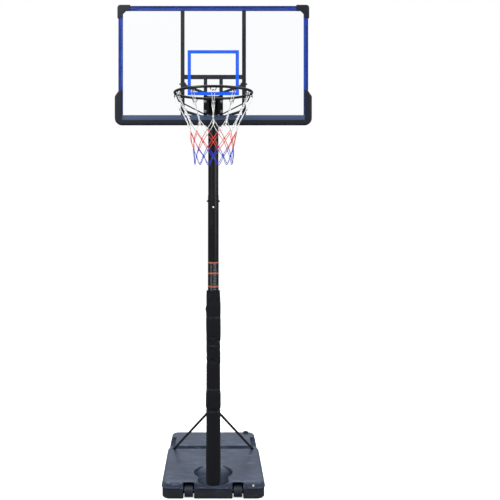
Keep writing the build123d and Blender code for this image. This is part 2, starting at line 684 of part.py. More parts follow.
# ---- Backboard ----
def at_rim_bolts(cutter_end):
    """Cutters for the rim's bolts, from ahead of the board to cutter_end."""
    start = SHEET_FRONT - 2 * BRACKET_T
    return [hole((x, start, z), (x, cutter_end, z), RIM_BOLT_D)
            for x in (-RIM_BOLT_X, RIM_BOLT_X) for z in RIM_BOLT_ROWS]


def screw_places():
    """Centres of the screws that hold the sheet to the rails."""
    half = BOARD_HALF - RAIL_FACE / 2
    low = BOARD_BOTTOM + RAIL_FACE / 2
    high = BOARD_TOP - RAIL_FACE / 2
    span = BOARD_WIDTH - 2 * SCREW_EDGE
    rise = BOARD_HEIGHT - FOAM_RISE - SCREW_EDGE
    across = [-span / 2 + i * span / (SCREWS_ACROSS - 1) for i in range(SCREWS_ACROSS)]
    up = [BOARD_TOP - SCREW_EDGE - i * rise / (SCREWS_UP - 1) for i in range(SCREWS_UP)]
    top = [(x, high) for x in across]
    bottom = [(x, low) for x in across]
    return top + bottom + [(side * half, z) for side in (-1, 1) for z in up]


def screw_holes():
    """Cutters for the sheet's screws."""
    return [hole((x, SHEET_FRONT - SHEET_T, z), (x, SHEET_BACK + RAIL_WALL + 1, z), SCREW_D)
            for x, z in screw_places()]


def backboard_sheet():
    """Clear sheet in front of the frame."""
    sheet = block((-BOARD_HALF, SHEET_FRONT, BOARD_BOTTOM), (BOARD_HALF, SHEET_BACK, BOARD_TOP))
    for cutter in at_rim_bolts(SHEET_BACK + SHEET_T) + screw_holes():
        sheet = sheet - cutter
    return sheet


def target_rectangle():
    """Thin painted rectangle on the sheet's front."""
    outer = Rectangle(TARGET_WIDTH, TARGET_HEIGHT)
    inner = Rectangle(TARGET_WIDTH - 2 * TARGET_LINE, TARGET_HEIGHT - 2 * TARGET_LINE)
    centre_z = RIM_HEIGHT + TARGET_ABOVE_RIM + TARGET_HEIGHT / 2
    film = extrude(Plane.XZ * (outer - inner), FILM_T)
    return Pos(0, SHEET_FRONT, centre_z) * film


def rail(low_x, high_x, low_z, high_z, axis):
    """A frame tube behind the sheet, drilled for the sheet's screws."""
    tube = tube_block((low_x, SHEET_BACK, low_z), (high_x, RAIL_BACK, high_z), RAIL_WALL, axis)
    for cutter in screw_holes():
        place = cutter.center()
        if low_x < place.X < high_x and low_z < place.Z < high_z:
            tube = tube - cutter
    return tube


def side_rail():
    """The right frame tube."""
    return rail(BOARD_HALF - RAIL_FACE, BOARD_HALF, BOARD_BOTTOM, BOARD_TOP - RAIL_FACE, 2)


def top_rail():
    """The top frame tube, over both side tubes."""
    return rail(-BOARD_HALF, BOARD_HALF, BOARD_TOP - RAIL_FACE, BOARD_TOP, 0)


def bottom_rail():
    """The bottom frame tube, between the side tubes."""
    inner = BOARD_HALF - RAIL_FACE
    return rail(-inner, inner, BOARD_BOTTOM, BOARD_BOTTOM + RAIL_FACE, 0)


def upright():
    """The right upright, between the top and bottom tubes, which the arms bolt to."""
    half = UPRIGHT_SIZE / 2
    tube = tube_block((UPRIGHT_X - half, SHEET_BACK, BOARD_BOTTOM + RAIL_FACE),
                      (UPRIGHT_X + half, SHEET_BACK + UPRIGHT_SIZE, BOARD_TOP - RAIL_FACE),
                      RAIL_WALL, 2)
    for z in (UPPER_ARM_Z, LOWER_ARM_Z):
        tube = tube - hole((UPRIGHT_X - 2 * half, ARM_BOLT_Y, z),
                           (UPRIGHT_X + 2 * half, ARM_BOLT_Y, z), ARM_BOLT_D)
    return tube


def cross_tube():
    """Tube between the uprights, above the rim."""
    centre = RIM_HEIGHT + CROSS_ABOVE_RIM
    half = UPRIGHT_SIZE / 2
    return tube_block((half - UPRIGHT_X, SHEET_BACK, centre - half),
                      (UPRIGHT_X - half, SHEET_BACK + UPRIGHT_SIZE, centre + half), RAIL_WALL, 0)


def short_upright():
    """The right rim support, from the cross tube down to the bottom tube."""
    half = SHORT_SIZE / 2
    top = RIM_HEIGHT + CROSS_ABOVE_RIM - UPRIGHT_SIZE / 2
    tube = tube_block((RIM_BOLT_X - half, SHEET_BACK, BOARD_BOTTOM + RAIL_FACE),
                      (RIM_BOLT_X + half, SHEET_BACK + SHORT_SIZE, top), RAIL_WALL, 2)
    for cutter in at_rim_bolts(SHEET_BACK + 2 * SHORT_SIZE):
        if cutter.center().X > 0:
            tube = tube - cutter
    return tube


def sheet_screws():
    """Pan-head screws through the sheet into the rails."""
    screws = []
    for x, z in screw_places():
        seat = (x, SHEET_FRONT, z)
        head = rod((x, SHEET_FRONT - SCREW_HEAD_T, z), seat, SCREW_HEAD_D)
        rim = head.faces().sort_by(Axis.Y)[0].edges()
        head = fillet(rim, SCREW_HEAD_T / 2)
        screws.append(head + rod(seat, (x, SHEET_FRONT + SCREW_LENGTH, z), SCREW_D))
    return group(screws)


def edge_space():
    """The room that the sheet and its frame fill inside an edge cover."""
    return block((-BOARD_HALF, SHEET_FRONT, BOARD_BOTTOM), (BOARD_HALF, RAIL_BACK, BOARD_TOP))


def corner_cap():
    """The right top corner protector: a shell with a slanted inner edge."""
    reach = CORNER_WIDTH + CORNER_PROUD
    outer_x = BOARD_HALF + CORNER_PROUD
    outer_z = BOARD_TOP + CORNER_PROUD
    leg = RAIL_FACE + CORNER_PROUD
    plan = make_face(Polyline(
        (outer_x, outer_z), (outer_x, outer_z - reach), (outer_x - leg, outer_z - reach),
        (outer_x - leg, outer_z - leg - CORNER_CUT / 2), (outer_x - leg - CORNER_CUT / 2, outer_z - leg),
        (outer_x - reach, outer_z - leg), (outer_x - reach, outer_z), close=True))
    outer = plan.vertices().sort_by(Axis.Y)[-2:].sort_by(Axis.X)[-1]
    plan = fillet([outer], CORNER_R)
    depth = SHEET_T + RAIL_DEPTH + 2 * CORNER_WALL
    shell = Pos(0, SHEET_FRONT - CORNER_WALL, 0) * extrude(Plane.XZ * plan, -depth)
    return shell - edge_space()


def bottom_pad():
    """Soft edge round the board's foot: a U with a slot for the sheet and frame."""
    half = BOARD_HALF + FOAM_SIDE
    low = BOARD_BOTTOM - FOAM_BELOW
    top = low + FOAM_RISE
    arm = half - FOAM_ARM
    band = low + FOAM_BAND
    right = [(half, low), (half, top - FOAM_CHAMFER_DOWN), (half - FOAM_CHAMFER, top), (arm, top),
             (arm, band)]
    left = [(-x, z) for x, z in reversed(right)]
    plan = make_face(Polyline(*right, *left, close=True))
    plan = fillet(plan.vertices().group_by(Axis.Y)[0], FOAM_R)
    front = SHEET_FRONT - FOAM_FRONT
    depth = RAIL_BACK + FOAM_BACK - front
    pad = Pos(0, front, 0) * extrude(Plane.XZ * plan, -depth)
    slope = make_face(Polyline(
        (front - 1, band + 1), (front + FOAM_SLOPE, band + 1), (front - 1, low + FOAM_BAND / 2),
        close=True))
    wedge = extrude(Plane.YZ * slope, arm - 1, both=True)
    pad = pad - wedge - edge_space()
    uprights = block((-UPRIGHT_X - UPRIGHT_SIZE, SHEET_BACK, BOARD_BOTTOM),
                     (UPRIGHT_X + UPRIGHT_SIZE, SHEET_BACK + UPRIGHT_SIZE + NUT_T, BOARD_TOP))
    pad = pad - uprights
    for cutter in screw_heads_room():
        pad = pad - cutter
    return pad


def screw_heads_room():
    """Dimples that the screw heads press into the soft edge."""
    depth = SCREW_HEAD_T + SEAT_GAP
    return [rod((x, SHEET_FRONT - depth, z), (x, SHEET_FRONT, z), SCREW_HEAD_D + 2 * SEAT_GAP)
            for x, z in screw_places()]


# ---- Arms ----
def arm(board_z):
    """A right arm: a bent tube with flattened ends, from an upright back to the pole's side."""
    pole_z = board_z - ARM_DROP
    board_x = UPRIGHT_X - UPRIGHT_SIZE / 2 - ARM_LUG_T / 2
    pole_x = ARM_SIDE + ARM_LUG_T / 2
    start_y = SHEET_BACK + UPRIGHT_SIZE + ARM_D / 2 + ARM_LUG_T
    end_y = -ARM_LUG_WIDTH
    points = [(board_x, start_y, board_z - ARM_DROP / 8),
              (ARM_ELBOW_X, -ARM_ELBOW_Y, board_z - ARM_DROP / 4),
              (ARM_KNEE_X, -ARM_KNEE_Y, board_z - ARM_DROP / 3),
              (pole_x, end_y, pole_z + ARM_DROP / 8)]
    tube = bent_tube(points, [ARM_BEND_R / 2, ARM_BEND_R], ARM_D, ARM_WALL)
    front = lug((board_x, ARM_BOLT_Y, board_z), (1, -0.25), ARM_LUG_WIDTH,
                start_y - ARM_BOLT_Y + ARM_WALL, ARM_LUG_T, ARM_BOLT_D)
    rear = lug((pole_x, 0, pole_z), (-1, 0.3), ARM_LUG_WIDTH, ARM_LUG_WIDTH + ARM_WALL,
               ARM_LUG_T, ARM_BOLT_D)
    return tube + front + rear


def arm_heights():
    """Heights of the arms' board ends."""
    return (UPPER_ARM_Z, LOWER_ARM_Z)


def arm_spacers():
    """Saddle spacers between the arms and the pole."""
    pole = rod((0, 0, UPPER_BOTTOM), (0, 0, UPPER_TOP + TOP_CAP_T), UPPER_D)
    spacers = []
    for z in (arm_heights()[0] - ARM_DROP, arm_heights()[1] - ARM_DROP):
        ring = rod((UPPER_D / 2 - ARM_SPACER_D / 6, 0, z), (ARM_SIDE, 0, z), ARM_SPACER_D,
                   ARM_BOLT_D + 2 * THREAD_GAP)
        ring = ring - pole
        spacers += [ring, mirrored(ring)]
    return group(spacers)


def pole_bolts():
    """Bolts through the pole and the arms' rear ends."""
    face = ARM_SIDE + ARM_LUG_T
    return group(hex_bolt((-face, 0, z - ARM_DROP), (face + NUT_T + 3, 0, z - ARM_DROP), ARM_BOLT_D)
                 for z in arm_heights())


def pole_nuts():
    """Nuts of the bolts through the pole."""
    face = ARM_SIDE + ARM_LUG_T
    return group(hex_nut((face, 0, z - ARM_DROP), (1, 0, 0), ARM_BOLT_D) for z in arm_heights())


def arm_bolts():
    """Bolts through the arms' front ends and the uprights."""
    seat = UPRIGHT_X - UPRIGHT_SIZE / 2 - ARM_LUG_T
    tip = UPRIGHT_X + UPRIGHT_SIZE / 2 + NUT_T + 3
    right = [hex_bolt((seat, ARM_BOLT_Y, z), (tip, ARM_BOLT_Y, z), ARM_BOLT_D)
             for z in arm_heights()]
    return group(right + [mirrored(bolt) for bolt in right])


def arm_nuts():
    """Nuts of the bolts through the uprights."""
    seat = UPRIGHT_X + UPRIGHT_SIZE / 2
    right = [hex_nut((seat, ARM_BOLT_Y, z), (1, 0, 0), ARM_BOLT_D) for z in arm_heights()]
    return group(right + [mirrored(nut) for nut in right])


# ---- Rim ----
def rim_ring():
    """The ring of round bar."""
    return Pos(0, RING_Y, RIM_HEIGHT) * Torus(RING_R, RIM_ROD_D / 2)


def rim_bracket():
    """Plate on the board with a channel that runs out to the ring."""
    low = RIM_HEIGHT - BRACKET_BELOW
    high = RIM_HEIGHT + BRACKET_ABOVE
    front = SHEET_FRONT - BRACKET_T
    plate = block((-BRACKET_WIDTH / 2, front, low), (BRACKET_WIDTH / 2, SHEET_FRONT, high))
    for cutter in at_rim_bolts(SHEET_BACK):
        plate = plate - cutter
    nose_y = RING_Y + RING_R
    web = make_face(Polyline(
        (front, low + CHANNEL_T), (front, high - CHANNEL_T), (nose_y, RIM_HEIGHT + CHANNEL_NOSE),
        (nose_y, RIM_HEIGHT - CHANNEL_NOSE), close=True))
    solid = extrude(Plane.YZ * web, CHANNEL_WIDTH / 2, both=True)
    inside = make_face(Polyline(
        (front, low), (front, high - 2 * CHANNEL_T), (nose_y, RIM_HEIGHT + CHANNEL_NOSE - CHANNEL_T),
        (nose_y - RIM_ROD_D, RIM_HEIGHT - 2 * CHANNEL_NOSE), (nose_y, low), close=True))
    solid = solid - extrude(Plane.YZ * inside, CHANNEL_WIDTH / 2 - CHANNEL_T, both=True)
    return plate + solid - rim_ring()


def round_ring(radius, angle, z):
    """A point at an angle round the ring's axis."""
    turn = math.radians(angle)
    return (radius * math.cos(turn), RING_Y + radius * math.sin(turn), z)


def rim_braces():
    """Bent round bars from the bracket's lower corners to the ring's sides."""
    start = (BRACKET_WIDTH / 2 - BRACE_D / 2, SHEET_FRONT - BRACKET_T,
             RIM_HEIGHT - BRACKET_BELOW + BRACE_D / 2)
    bend = round_ring(RING_R + BRACE_D / 2, BRACE_BEND_ANGLE, RIM_HEIGHT - BRACE_BEND_BELOW)
    end = round_ring(RING_R, BRACE_END_ANGLE, RIM_HEIGHT - RIM_ROD_D / 2 - BRACE_D / 4)
    right = bent_tube([start, bend, end], BRACE_BEND_R, BRACE_D, 0) - rim_ring()
    plate = block((-BRACKET_WIDTH, SHEET_FRONT - BRACKET_T, RIM_HEIGHT - 2 * BRACKET_BELOW),
                  (BRACKET_WIDTH, SHEET_BACK, RIM_HEIGHT + BRACKET_ABOVE))
    right = right - plate
    return group([right, mirrored(right)])


def net_hooks():
    """Bent wire hooks welded under the ring."""
    drop = HOOK_DROP - HOOK_WIRE / 2
    start = RIM_ROD_D / 2
    points = [(0, -HOOK_HALF, -start), (0, -HOOK_HALF / 2, -start - drop),
              (0, 0, -start - drop / 2), (0, HOOK_HALF / 2, -start - drop),
              (0, HOOK_HALF, -start)]
    path = FilletPolyline(*points, radius=HOOK_BEND_R)
    wire = sweep(Plane(origin=path @ 0, z_dir=path % 0) * Circle(HOOK_WIRE / 2), path=path)
    ring = Pos(-RING_R, 0, 0) * Torus(RING_R, RIM_ROD_D / 2)
    wire = Pos(RING_R, 0, 0) * (wire - ring)
    turns = [i * 360 / HOOKS for i in range(HOOKS)]
    return Pos(0, RING_Y, RIM_HEIGHT) * group(Rot(0, 0, turn) * wire for turn in turns)


def rim_bolts():
    """Dome-head bolts through the bracket, sheet and rim supports."""
    seat = SHEET_FRONT - BRACKET_T
    tip = SHEET_BACK + SHORT_SIZE + NUT_T + 3
    bolts = []
    for x in (-RIM_BOLT_X, RIM_BOLT_X):
        for z in RIM_BOLT_ROWS:
            dome = rod((x, seat - RIM_DOME_T, z), (x, seat, z), RIM_DOME_D)
            dome = fillet(dome.faces().sort_by(Axis.Y)[0].edges(), RIM_DOME_T * 0.8)
            bolts.append(dome + rod((x, seat, z), (x, tip, z), RIM_BOLT_D))
    return group(bolts)


def rim_nuts():
    """Nuts behind the rim supports."""
    seat = SHEET_BACK + SHORT_SIZE
    return group(hex_nut((x, seat, z), (0, 1, 0), RIM_BOLT_D)
                 for x in (-RIM_BOLT_X, RIM_BOLT_X) for z in RIM_BOLT_ROWS)


def net():
    """The net's outer shape: an open sleeve that narrows to its foot."""
    top = RIM_HEIGHT - RIM_ROD_D / 2 - HOOK_DROP
    top_r = RING_R - HOOK_WIRE / 2 - SEAT_GAP
    waist = RIM_HEIGHT - NET_WAIST_BELOW_RIM
    bottom = RIM_HEIGHT - NET_BOTTOM_BELOW_RIM
    outer = Spline((top_r, top), (NET_WAIST_R, waist), (NET_BOTTOM_R, bottom))
    inner = Spline((top_r - NET_T, top), (NET_WAIST_R - NET_T, waist),
                   (NET_BOTTOM_R - NET_T, bottom))
    edges = [outer, inner, Line(outer @ 0, inner @ 0), Line(outer @ 1, inner @ 1)]
    sleeve = revolve(Plane.XZ * make_face(edges), Axis.Z)
    return Pos(0, RING_Y, 0) * sleeve


NODES = {
    "base_tank": base_tank,
    "sand_ballast": sand_ballast,
    "fill_cap": fill_cap,
    "cap_seal": cap_seal,
    "drain_plug": drain_plug,
    "wheel_right": wheel,
    "wheel_left": lambda: mirrored(wheel()),
    "wheel_axle": wheel_axle,
    "axle_retainers": axle_retainers,
    "lower_pole": lower_pole,
    "middle_pole": middle_pole,
    "joint_sleeve": joint_sleeve,
    "upper_pole": upper_pole,
    "guide_plug": guide_plug,
    "pole_top_cap": pole_top_cap,
    "lock_screw_right": lock_screw,
    "lock_screw_left": lambda: mirrored(lock_screw()),
    "height_scale": height_scale,
    "strut_right": strut,
    "strut_left": lambda: mirrored(strut()),
    "strut_bolt": strut_bolt,
    "foot_bolts": foot_bolts,
    "pole_pad": pole_pad,
    "backboard_sheet": backboard_sheet,
    "target_rectangle": target_rectangle,
    "side_rail_right": side_rail,
    "side_rail_left": lambda: mirrored(side_rail()),
    "top_rail": top_rail,
    "bottom_rail": bottom_rail,
    "upright_right": upright,
    "upright_left": lambda: mirrored(upright()),
    "cross_tube": cross_tube,
    "rim_support_right": short_upright,
    "rim_support_left": lambda: mirrored(short_upright()),
    "sheet_screws": sheet_screws,
    "corner_cap_right": corner_cap,
    "corner_cap_left": lambda: mirrored(corner_cap()),
    "bottom_pad": bottom_pad,
    "arm_upper_right": lambda: arm(UPPER_ARM_Z),
    "arm_upper_left": lambda: mirrored(arm(UPPER_ARM_Z)),
    "arm_lower_right": lambda: arm(LOWER_ARM_Z),
    "arm_lower_left": lambda: mirrored(arm(LOWER_ARM_Z)),
    "arm_spacers": arm_spacers,
    "pole_bolts": pole_bolts,
    "pole_nuts": pole_nuts,
    "arm_bolts": arm_bolts,
    "arm_nuts": arm_nuts,
    "rim_ring": rim_ring,
    "rim_bracket": rim_bracket,
    "rim_braces": rim_braces,
    "net_hooks": net_hooks,
    "rim_bolts": rim_bolts,
    "rim_nuts": rim_nuts,
    "net": net,
}

os.makedirs("parts", exist_ok=True)
for node, build in NODES.items():
    export_step(build(), f"parts/{node}.step")
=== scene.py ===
"""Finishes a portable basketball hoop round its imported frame."""

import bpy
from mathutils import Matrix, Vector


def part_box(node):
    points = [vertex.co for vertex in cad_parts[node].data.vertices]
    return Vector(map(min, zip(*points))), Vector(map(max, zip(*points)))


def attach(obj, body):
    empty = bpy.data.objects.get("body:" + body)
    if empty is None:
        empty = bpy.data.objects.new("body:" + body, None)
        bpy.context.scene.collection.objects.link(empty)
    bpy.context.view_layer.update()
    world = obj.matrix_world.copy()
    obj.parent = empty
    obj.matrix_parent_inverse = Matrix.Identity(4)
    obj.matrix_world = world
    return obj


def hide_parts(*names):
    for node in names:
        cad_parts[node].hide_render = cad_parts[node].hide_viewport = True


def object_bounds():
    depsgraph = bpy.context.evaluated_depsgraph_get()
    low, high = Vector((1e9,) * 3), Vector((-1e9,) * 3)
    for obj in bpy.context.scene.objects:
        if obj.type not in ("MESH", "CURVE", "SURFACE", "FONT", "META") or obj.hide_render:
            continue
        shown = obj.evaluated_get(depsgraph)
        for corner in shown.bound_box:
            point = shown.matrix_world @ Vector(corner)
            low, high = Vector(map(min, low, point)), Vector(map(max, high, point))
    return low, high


bl_info = {
    "name": "Portable basketball hoop",
    "version": (1, 0, 0),
    "blender": (4, 5, 0),
    "location": "View3D > Sidebar > Hoop",
    "description": "Builds the finishes, soft goods and net of a portable basketball hoop",
    "category": "Add Mesh",
}

import bmesh
import bpy
import math
import random
from mathutils import Matrix, Vector, noise
from mathutils.bvhtree import BVHTree

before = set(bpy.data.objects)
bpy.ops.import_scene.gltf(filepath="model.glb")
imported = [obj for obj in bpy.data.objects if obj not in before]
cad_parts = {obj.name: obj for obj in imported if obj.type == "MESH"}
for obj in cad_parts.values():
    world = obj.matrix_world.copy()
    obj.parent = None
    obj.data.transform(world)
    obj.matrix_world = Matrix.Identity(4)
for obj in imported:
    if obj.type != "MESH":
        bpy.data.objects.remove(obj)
CAD_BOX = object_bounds()
MM = 0.001


# ---- Places, all taken from the frame ----
def middle(node):
    """The centre of a node's box."""
    low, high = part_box(node)
    return (Vector(low) + Vector(high)) / 2


RIM_LOW, RIM_HIGH = (Vector(corner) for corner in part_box("rim_ring"))
RIM_CENTRE = (RIM_LOW + RIM_HIGH) / 2
RIM_ROD = RIM_HIGH.z - RIM_LOW.z
RIM_RADIUS = (RIM_HIGH.x - RIM_LOW.x - RIM_ROD) / 2
EDGE_LOW, EDGE_HIGH = (Vector(corner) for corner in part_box("bottom_pad"))
PAD_LOW, PAD_HIGH = (Vector(corner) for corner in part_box("pole_pad"))
POLE_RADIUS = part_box("lower_pole")[1][0]
TANK_LOW = Vector(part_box("base_tank")[0])
SCALE_LOW, SCALE_HIGH = (Vector(corner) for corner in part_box("height_scale"))


# ---- Colour ----
def linear(code, alpha=1.0):
    """An sRGB hex code as linear red, green, blue and alpha."""
    values = [int(code[i:i + 2], 16) / 255 for i in (1, 3, 5)]
    curve = [v / 12.92 if v <= 0.04045 else ((v + 0.055) / 1.055) ** 2.4 for v in values]
    return (*curve, alpha)


def colour_property(label, about, code):
    """A colour that a user can change."""
    return bpy.props.FloatVectorProperty(
        name=label, description=about, subtype="COLOR", size=4, min=0, max=1, default=linear(code))


def length_property(label, about, value):
    """A length in metres that a user can change."""
    return bpy.props.FloatProperty(
        name=label, description=about, subtype="DISTANCE", unit="LENGTH", min=0, default=value)


class HoopColours(bpy.types.PropertyGroup):
    """Colours of the hoop's finishes."""
    tank: colour_property("Tank", "Blow-moulded polyethylene of the base", "#3a4559")
    tank_scuff: colour_property("Tank scuffs", "Pale rubs on the tank", "#66708a")
    wheel: colour_property("Wheels", "Moulded wheels", "#252b37")
    pole: colour_property("Pole", "Powder coat of the pole and struts", "#0c0d12")
    frame_blue: colour_property("Frame blue", "Enamel of the board's outer tubes", "#143da6")
    # Partly painted reflection: this dark powder coat is lifted a little to stand in for the sheet's
    # reflection over the tubes
    frame_dark: colour_property("Frame dark", "Powder coat of the tubes behind the sheet", "#14151d")
    target: colour_property("Target", "Printed rectangle", "#0060f2")
    rim: colour_property("Rim", "Powder coat of the ring and its bracket", "#0c0d10")
    corner: colour_property("Corner protectors", "Moulded corner protectors", "#121a24")
    edge_foam: colour_property("Edge pad", "Foam round the board's foot", "#0f1520")
    # Painted highlight: the paler colour of the edge pad's bevelled band, which faces up into the
    # light
    edge_band_highlight: colour_property("Edge pad band", "Bevelled band of the edge pad", "#384766")
    cover: colour_property("Pole pad", "Woven cover of the pole pad", "#0b0c13")
    cord_white: colour_property("White cord", "Upper part of the net", "#ffffff")
    cord_red: colour_property("Red cord", "Middle of the net", "#f04a40")
    cord_blue: colour_property("Blue cord", "Foot of the net", "#2f42d8")
    zinc: colour_property("Zinc", "Plated bolts and nuts", "#9aa0a4")
    band: colour_property("Scale bands", "Orange bands of the height scale", "#c0603f")


class HoopSizes(bpy.types.PropertyGroup):
    """Sizes that the frame doesn't fix."""
    cord: length_property("Net cord", "Diameter of the net's cord", 4.6 * MM)
    cord_lay: length_property("Cord lay", "Length of one turn of the cord's strands", 16 * MM)
    knot: length_property("Knot", "Size of a net knot", 5.2 * MM)
    cover_slack: length_property("Cover slack", "How far the pad's cover may stand off its foam",
                                 4.5 * MM)
    edge_crease: length_property("Edge pad crease", "Height of the edge pad's lower band", 31 * MM)
    softening: length_property("Tank edge", "Size of the tank's finest moulded edge", 3.5 * MM)


def colours():
    return bpy.context.scene.hoop_colours


def sizes():
    return bpy.context.scene.hoop_sizes


# ---- Materials ----
def add_node(tree, kind, settings=None, inputs=None):
    """Adds a node with its settings. An input is a value, or the output that feeds it."""
    node = tree.nodes.new(kind)
    for name, value in (settings or {}).items():
        setattr(node, name, value)
    for name, value in (inputs or {}).items():
        if isinstance(value, bpy.types.NodeSocket):
            tree.links.new(value, node.inputs[name])
        else:
            node.inputs[name].default_value = value
    return node


def new_tree(name):
    """A material of that name with an empty node tree, and its tree."""
    material = bpy.data.materials.new(name)
    material.use_nodes = True
    material.node_tree.nodes.clear()
    return material, material.node_tree


def finish_tree(tree, inputs):
    """Gives a tree its surface."""
    shader = add_node(tree, "ShaderNodeBsdfPrincipled", inputs=inputs)
    add_node(tree, "ShaderNodeOutputMaterial", inputs={"Surface": shader.outputs["BSDF"]})


def pattern(tree, size, detail=2.0, stretch=(1, 1, 1), kind="ShaderNodeTexNoise"):
    """Noise whose features are about size metres across, in the object's own space."""
    place = add_node(tree, "ShaderNodeTexCoord").outputs["Object"]
    mapped = add_node(tree, "ShaderNodeMapping", inputs={"Vector": place, "Scale": stretch})
    inputs = {"Vector": mapped.outputs["Vector"], "Scale": 1 / size}
    if kind == "ShaderNodeTexNoise":
        inputs["Detail"] = detail
        return add_node(tree, kind, inputs=inputs).outputs["Fac"]
    return add_node(tree, kind, inputs=inputs).outputs["Distance"]


def axes_of(tree, kind="ShaderNodeTexCoord", output="Object"):
    """The X, Y and Z of a node's vector: by default a point's place on its object."""
    vector = add_node(tree, kind).outputs[output]
    return add_node(tree, "ShaderNodeSeparateXYZ", inputs={"Vector": vector}).outputs


def spread(tree, value, low, high, start=0.0, end=1.0):
    """Maps a value from low..high to start..end."""
    return add_node(tree, "ShaderNodeMapRange", inputs={
        "Value": value, "From Min": low, "From Max": high, "To Min": start,
        "To Max": end}).outputs["Result"]


def blend_colour(tree, factor, first, second):
    """A colour between two."""
    return add_node(tree, "ShaderNodeMix", {"data_type": "RGBA"},
                    {0: factor, 6: first, 7: second}).outputs[2]


def maths(tree, operation, first, second=0.0):
    """One step of arithmetic."""
    return add_node(tree, "ShaderNodeMath", {"operation": operation},
                    {0: first, 1: second}).outputs[0]


def relief(tree, height, depth, strength=1.0, under=None):
    """A bump of that depth in metres, over another one."""
    inputs = {"Height": height, "Distance": depth, "Strength": strength}
    if under is not None:
        inputs["Normal"] = under
    return add_node(tree, "ShaderNodeBump", inputs=inputs).outputs["Normal"]


def shade(colour, amount):
    """A colour made lighter or darker by a factor."""
    return (*[min(1.0, value * amount) for value in colour[:3]], 1.0)


def powder_coat(name, colour, roughness):
    """Powder-coated steel: fine orange peel under a satin gloss, with a little dust."""
    material, tree = new_tree(name)
    peel = pattern(tree, 1.6 * MM)
    dust = spread(tree, pattern(tree, 90 * MM, 4.0), 0.42, 0.75)
    finish_tree(tree, {
        "Base Color": blend_colour(tree, dust, colour, shade(colour, 1.35)),
        "Roughness": spread(tree, dust, 0, 1, roughness, roughness + 0.12),
        "Specular IOR Level": 0.38,
        "Normal": relief(tree, peel, 0.12 * MM, 0.5)})
    return material


def blow_moulded_hdpe(name, colour, scuff, under):
    """Blow-moulded polyethylene: waxy and cloudy, rubbed in streaks, with painted shade on the
    upright faces below the seam and in the hollows below the deck."""
    material, tree = new_tree(name)
    cloud = spread(tree, pattern(tree, 170 * MM, 5.0), 0.32, 0.68)
    mottle = spread(tree, pattern(tree, 26 * MM, 6.0), 0.35, 0.7)
    rub = spread(tree, pattern(tree, 60 * MM, 7.0, (0.55, 1.6, 1)), 0.52, 0.72)
    scratch = spread(tree, pattern(tree, 22 * MM, 8.0, (0.25, 5.0, 1)), 0.6, 0.7)
    base = blend_colour(tree, cloud, shade(colour, 0.82), shade(colour, 1.14))
    base = blend_colour(tree, maths(tree, "MULTIPLY", mottle, 0.35), base, shade(colour, 0.7))
    base = blend_colour(tree, maths(tree, "MULTIPLY", rub, 0.5), base, scuff)
    base = blend_colour(tree, maths(tree, "MULTIPLY", scratch, 0.7), base, shade(scuff, 1.3))
    height = axes_of(tree)["Z"]
    lying = spread(tree, axes_of(tree, "ShaderNodeNewGeometry", "Normal")["Z"], 0.3, 0.7)
    standing = maths(tree, "SUBTRACT", 0.85, maths(tree, "MULTIPLY", lying, 0.85))
    # Painted shade: upright faces below the seam are darkened to near black
    seam_shade = maths(tree, "MULTIPLY", spread(tree, height, under, under - 4 * MM), standing)
    base = blend_colour(tree, seam_shade, base, linear("#1b1c20"))
    # Painted shade: up-facing faces sunk below the deck, in the wells, trough and pockets, are
    # darkened; the same mask also makes them matt
    sunk = spread(tree, height, DECK_Z - 5 * MM, DECK_Z - 45 * MM, 0.0, 0.62)
    hollow_shade = maths(tree, "MULTIPLY", sunk, lying)
    base = blend_colour(tree, hollow_shade, base, shade(colour, 0.34))
    grain = relief(tree, pattern(tree, 1.4 * MM, 2.0), 0.16 * MM, 0.5)
    sink = relief(tree, pattern(tree, 70 * MM, 2.0), 1.2 * MM, 0.35, grain)
    wear = spread(tree, rub, 0, 1, 0.36, 0.6)
    gloss = maths(tree, "ADD", wear, maths(tree, "MULTIPLY", hollow_shade, 0.5))
    finish_tree(tree, {
        "Base Color": base, "Roughness": gloss, "IOR": 1.54, "Normal": sink,
        "Specular IOR Level": spread(tree, hollow_shade, 0, 0.5, 0.5, 0.12)})
    return material


def moulded_plastic(name, colour, roughness, grain):
    """Injection-moulded plastic with a spark-eroded grain."""
    material, tree = new_tree(name)
    tone = spread(tree, pattern(tree, 35 * MM, 4.0), 0.35, 0.7)
    finish_tree(tree, {
        "Base Color": blend_colour(tree, tone, shade(colour, 0.9), shade(colour, 1.2)),
        "Roughness": spread(tree, tone, 0, 1, roughness, roughness + 0.1),
        "IOR": 1.49, "Specular IOR Level": 0.38,
        "Normal": relief(tree, pattern(tree, grain), 0.1 * MM, 0.6)})
    return material


def zinc_plate(name, colour):
    """Zinc-plated steel: pale metal with a faint mottled bloom."""
    material, tree = new_tree(name)
    bloom = spread(tree, pattern(tree, 5 * MM, 5.0), 0.35, 0.7)
    finish_tree(tree, {
        "Base Color": blend_colour(tree, bloom, colour, shade(colour, 0.72)),
        "Metallic": 1.0, "Roughness": spread(tree, bloom, 0, 1, 0.3, 0.5),
        "Normal": relief(tree, pattern(tree, 0.8 * MM), 0.03 * MM, 0.4)})
    return material


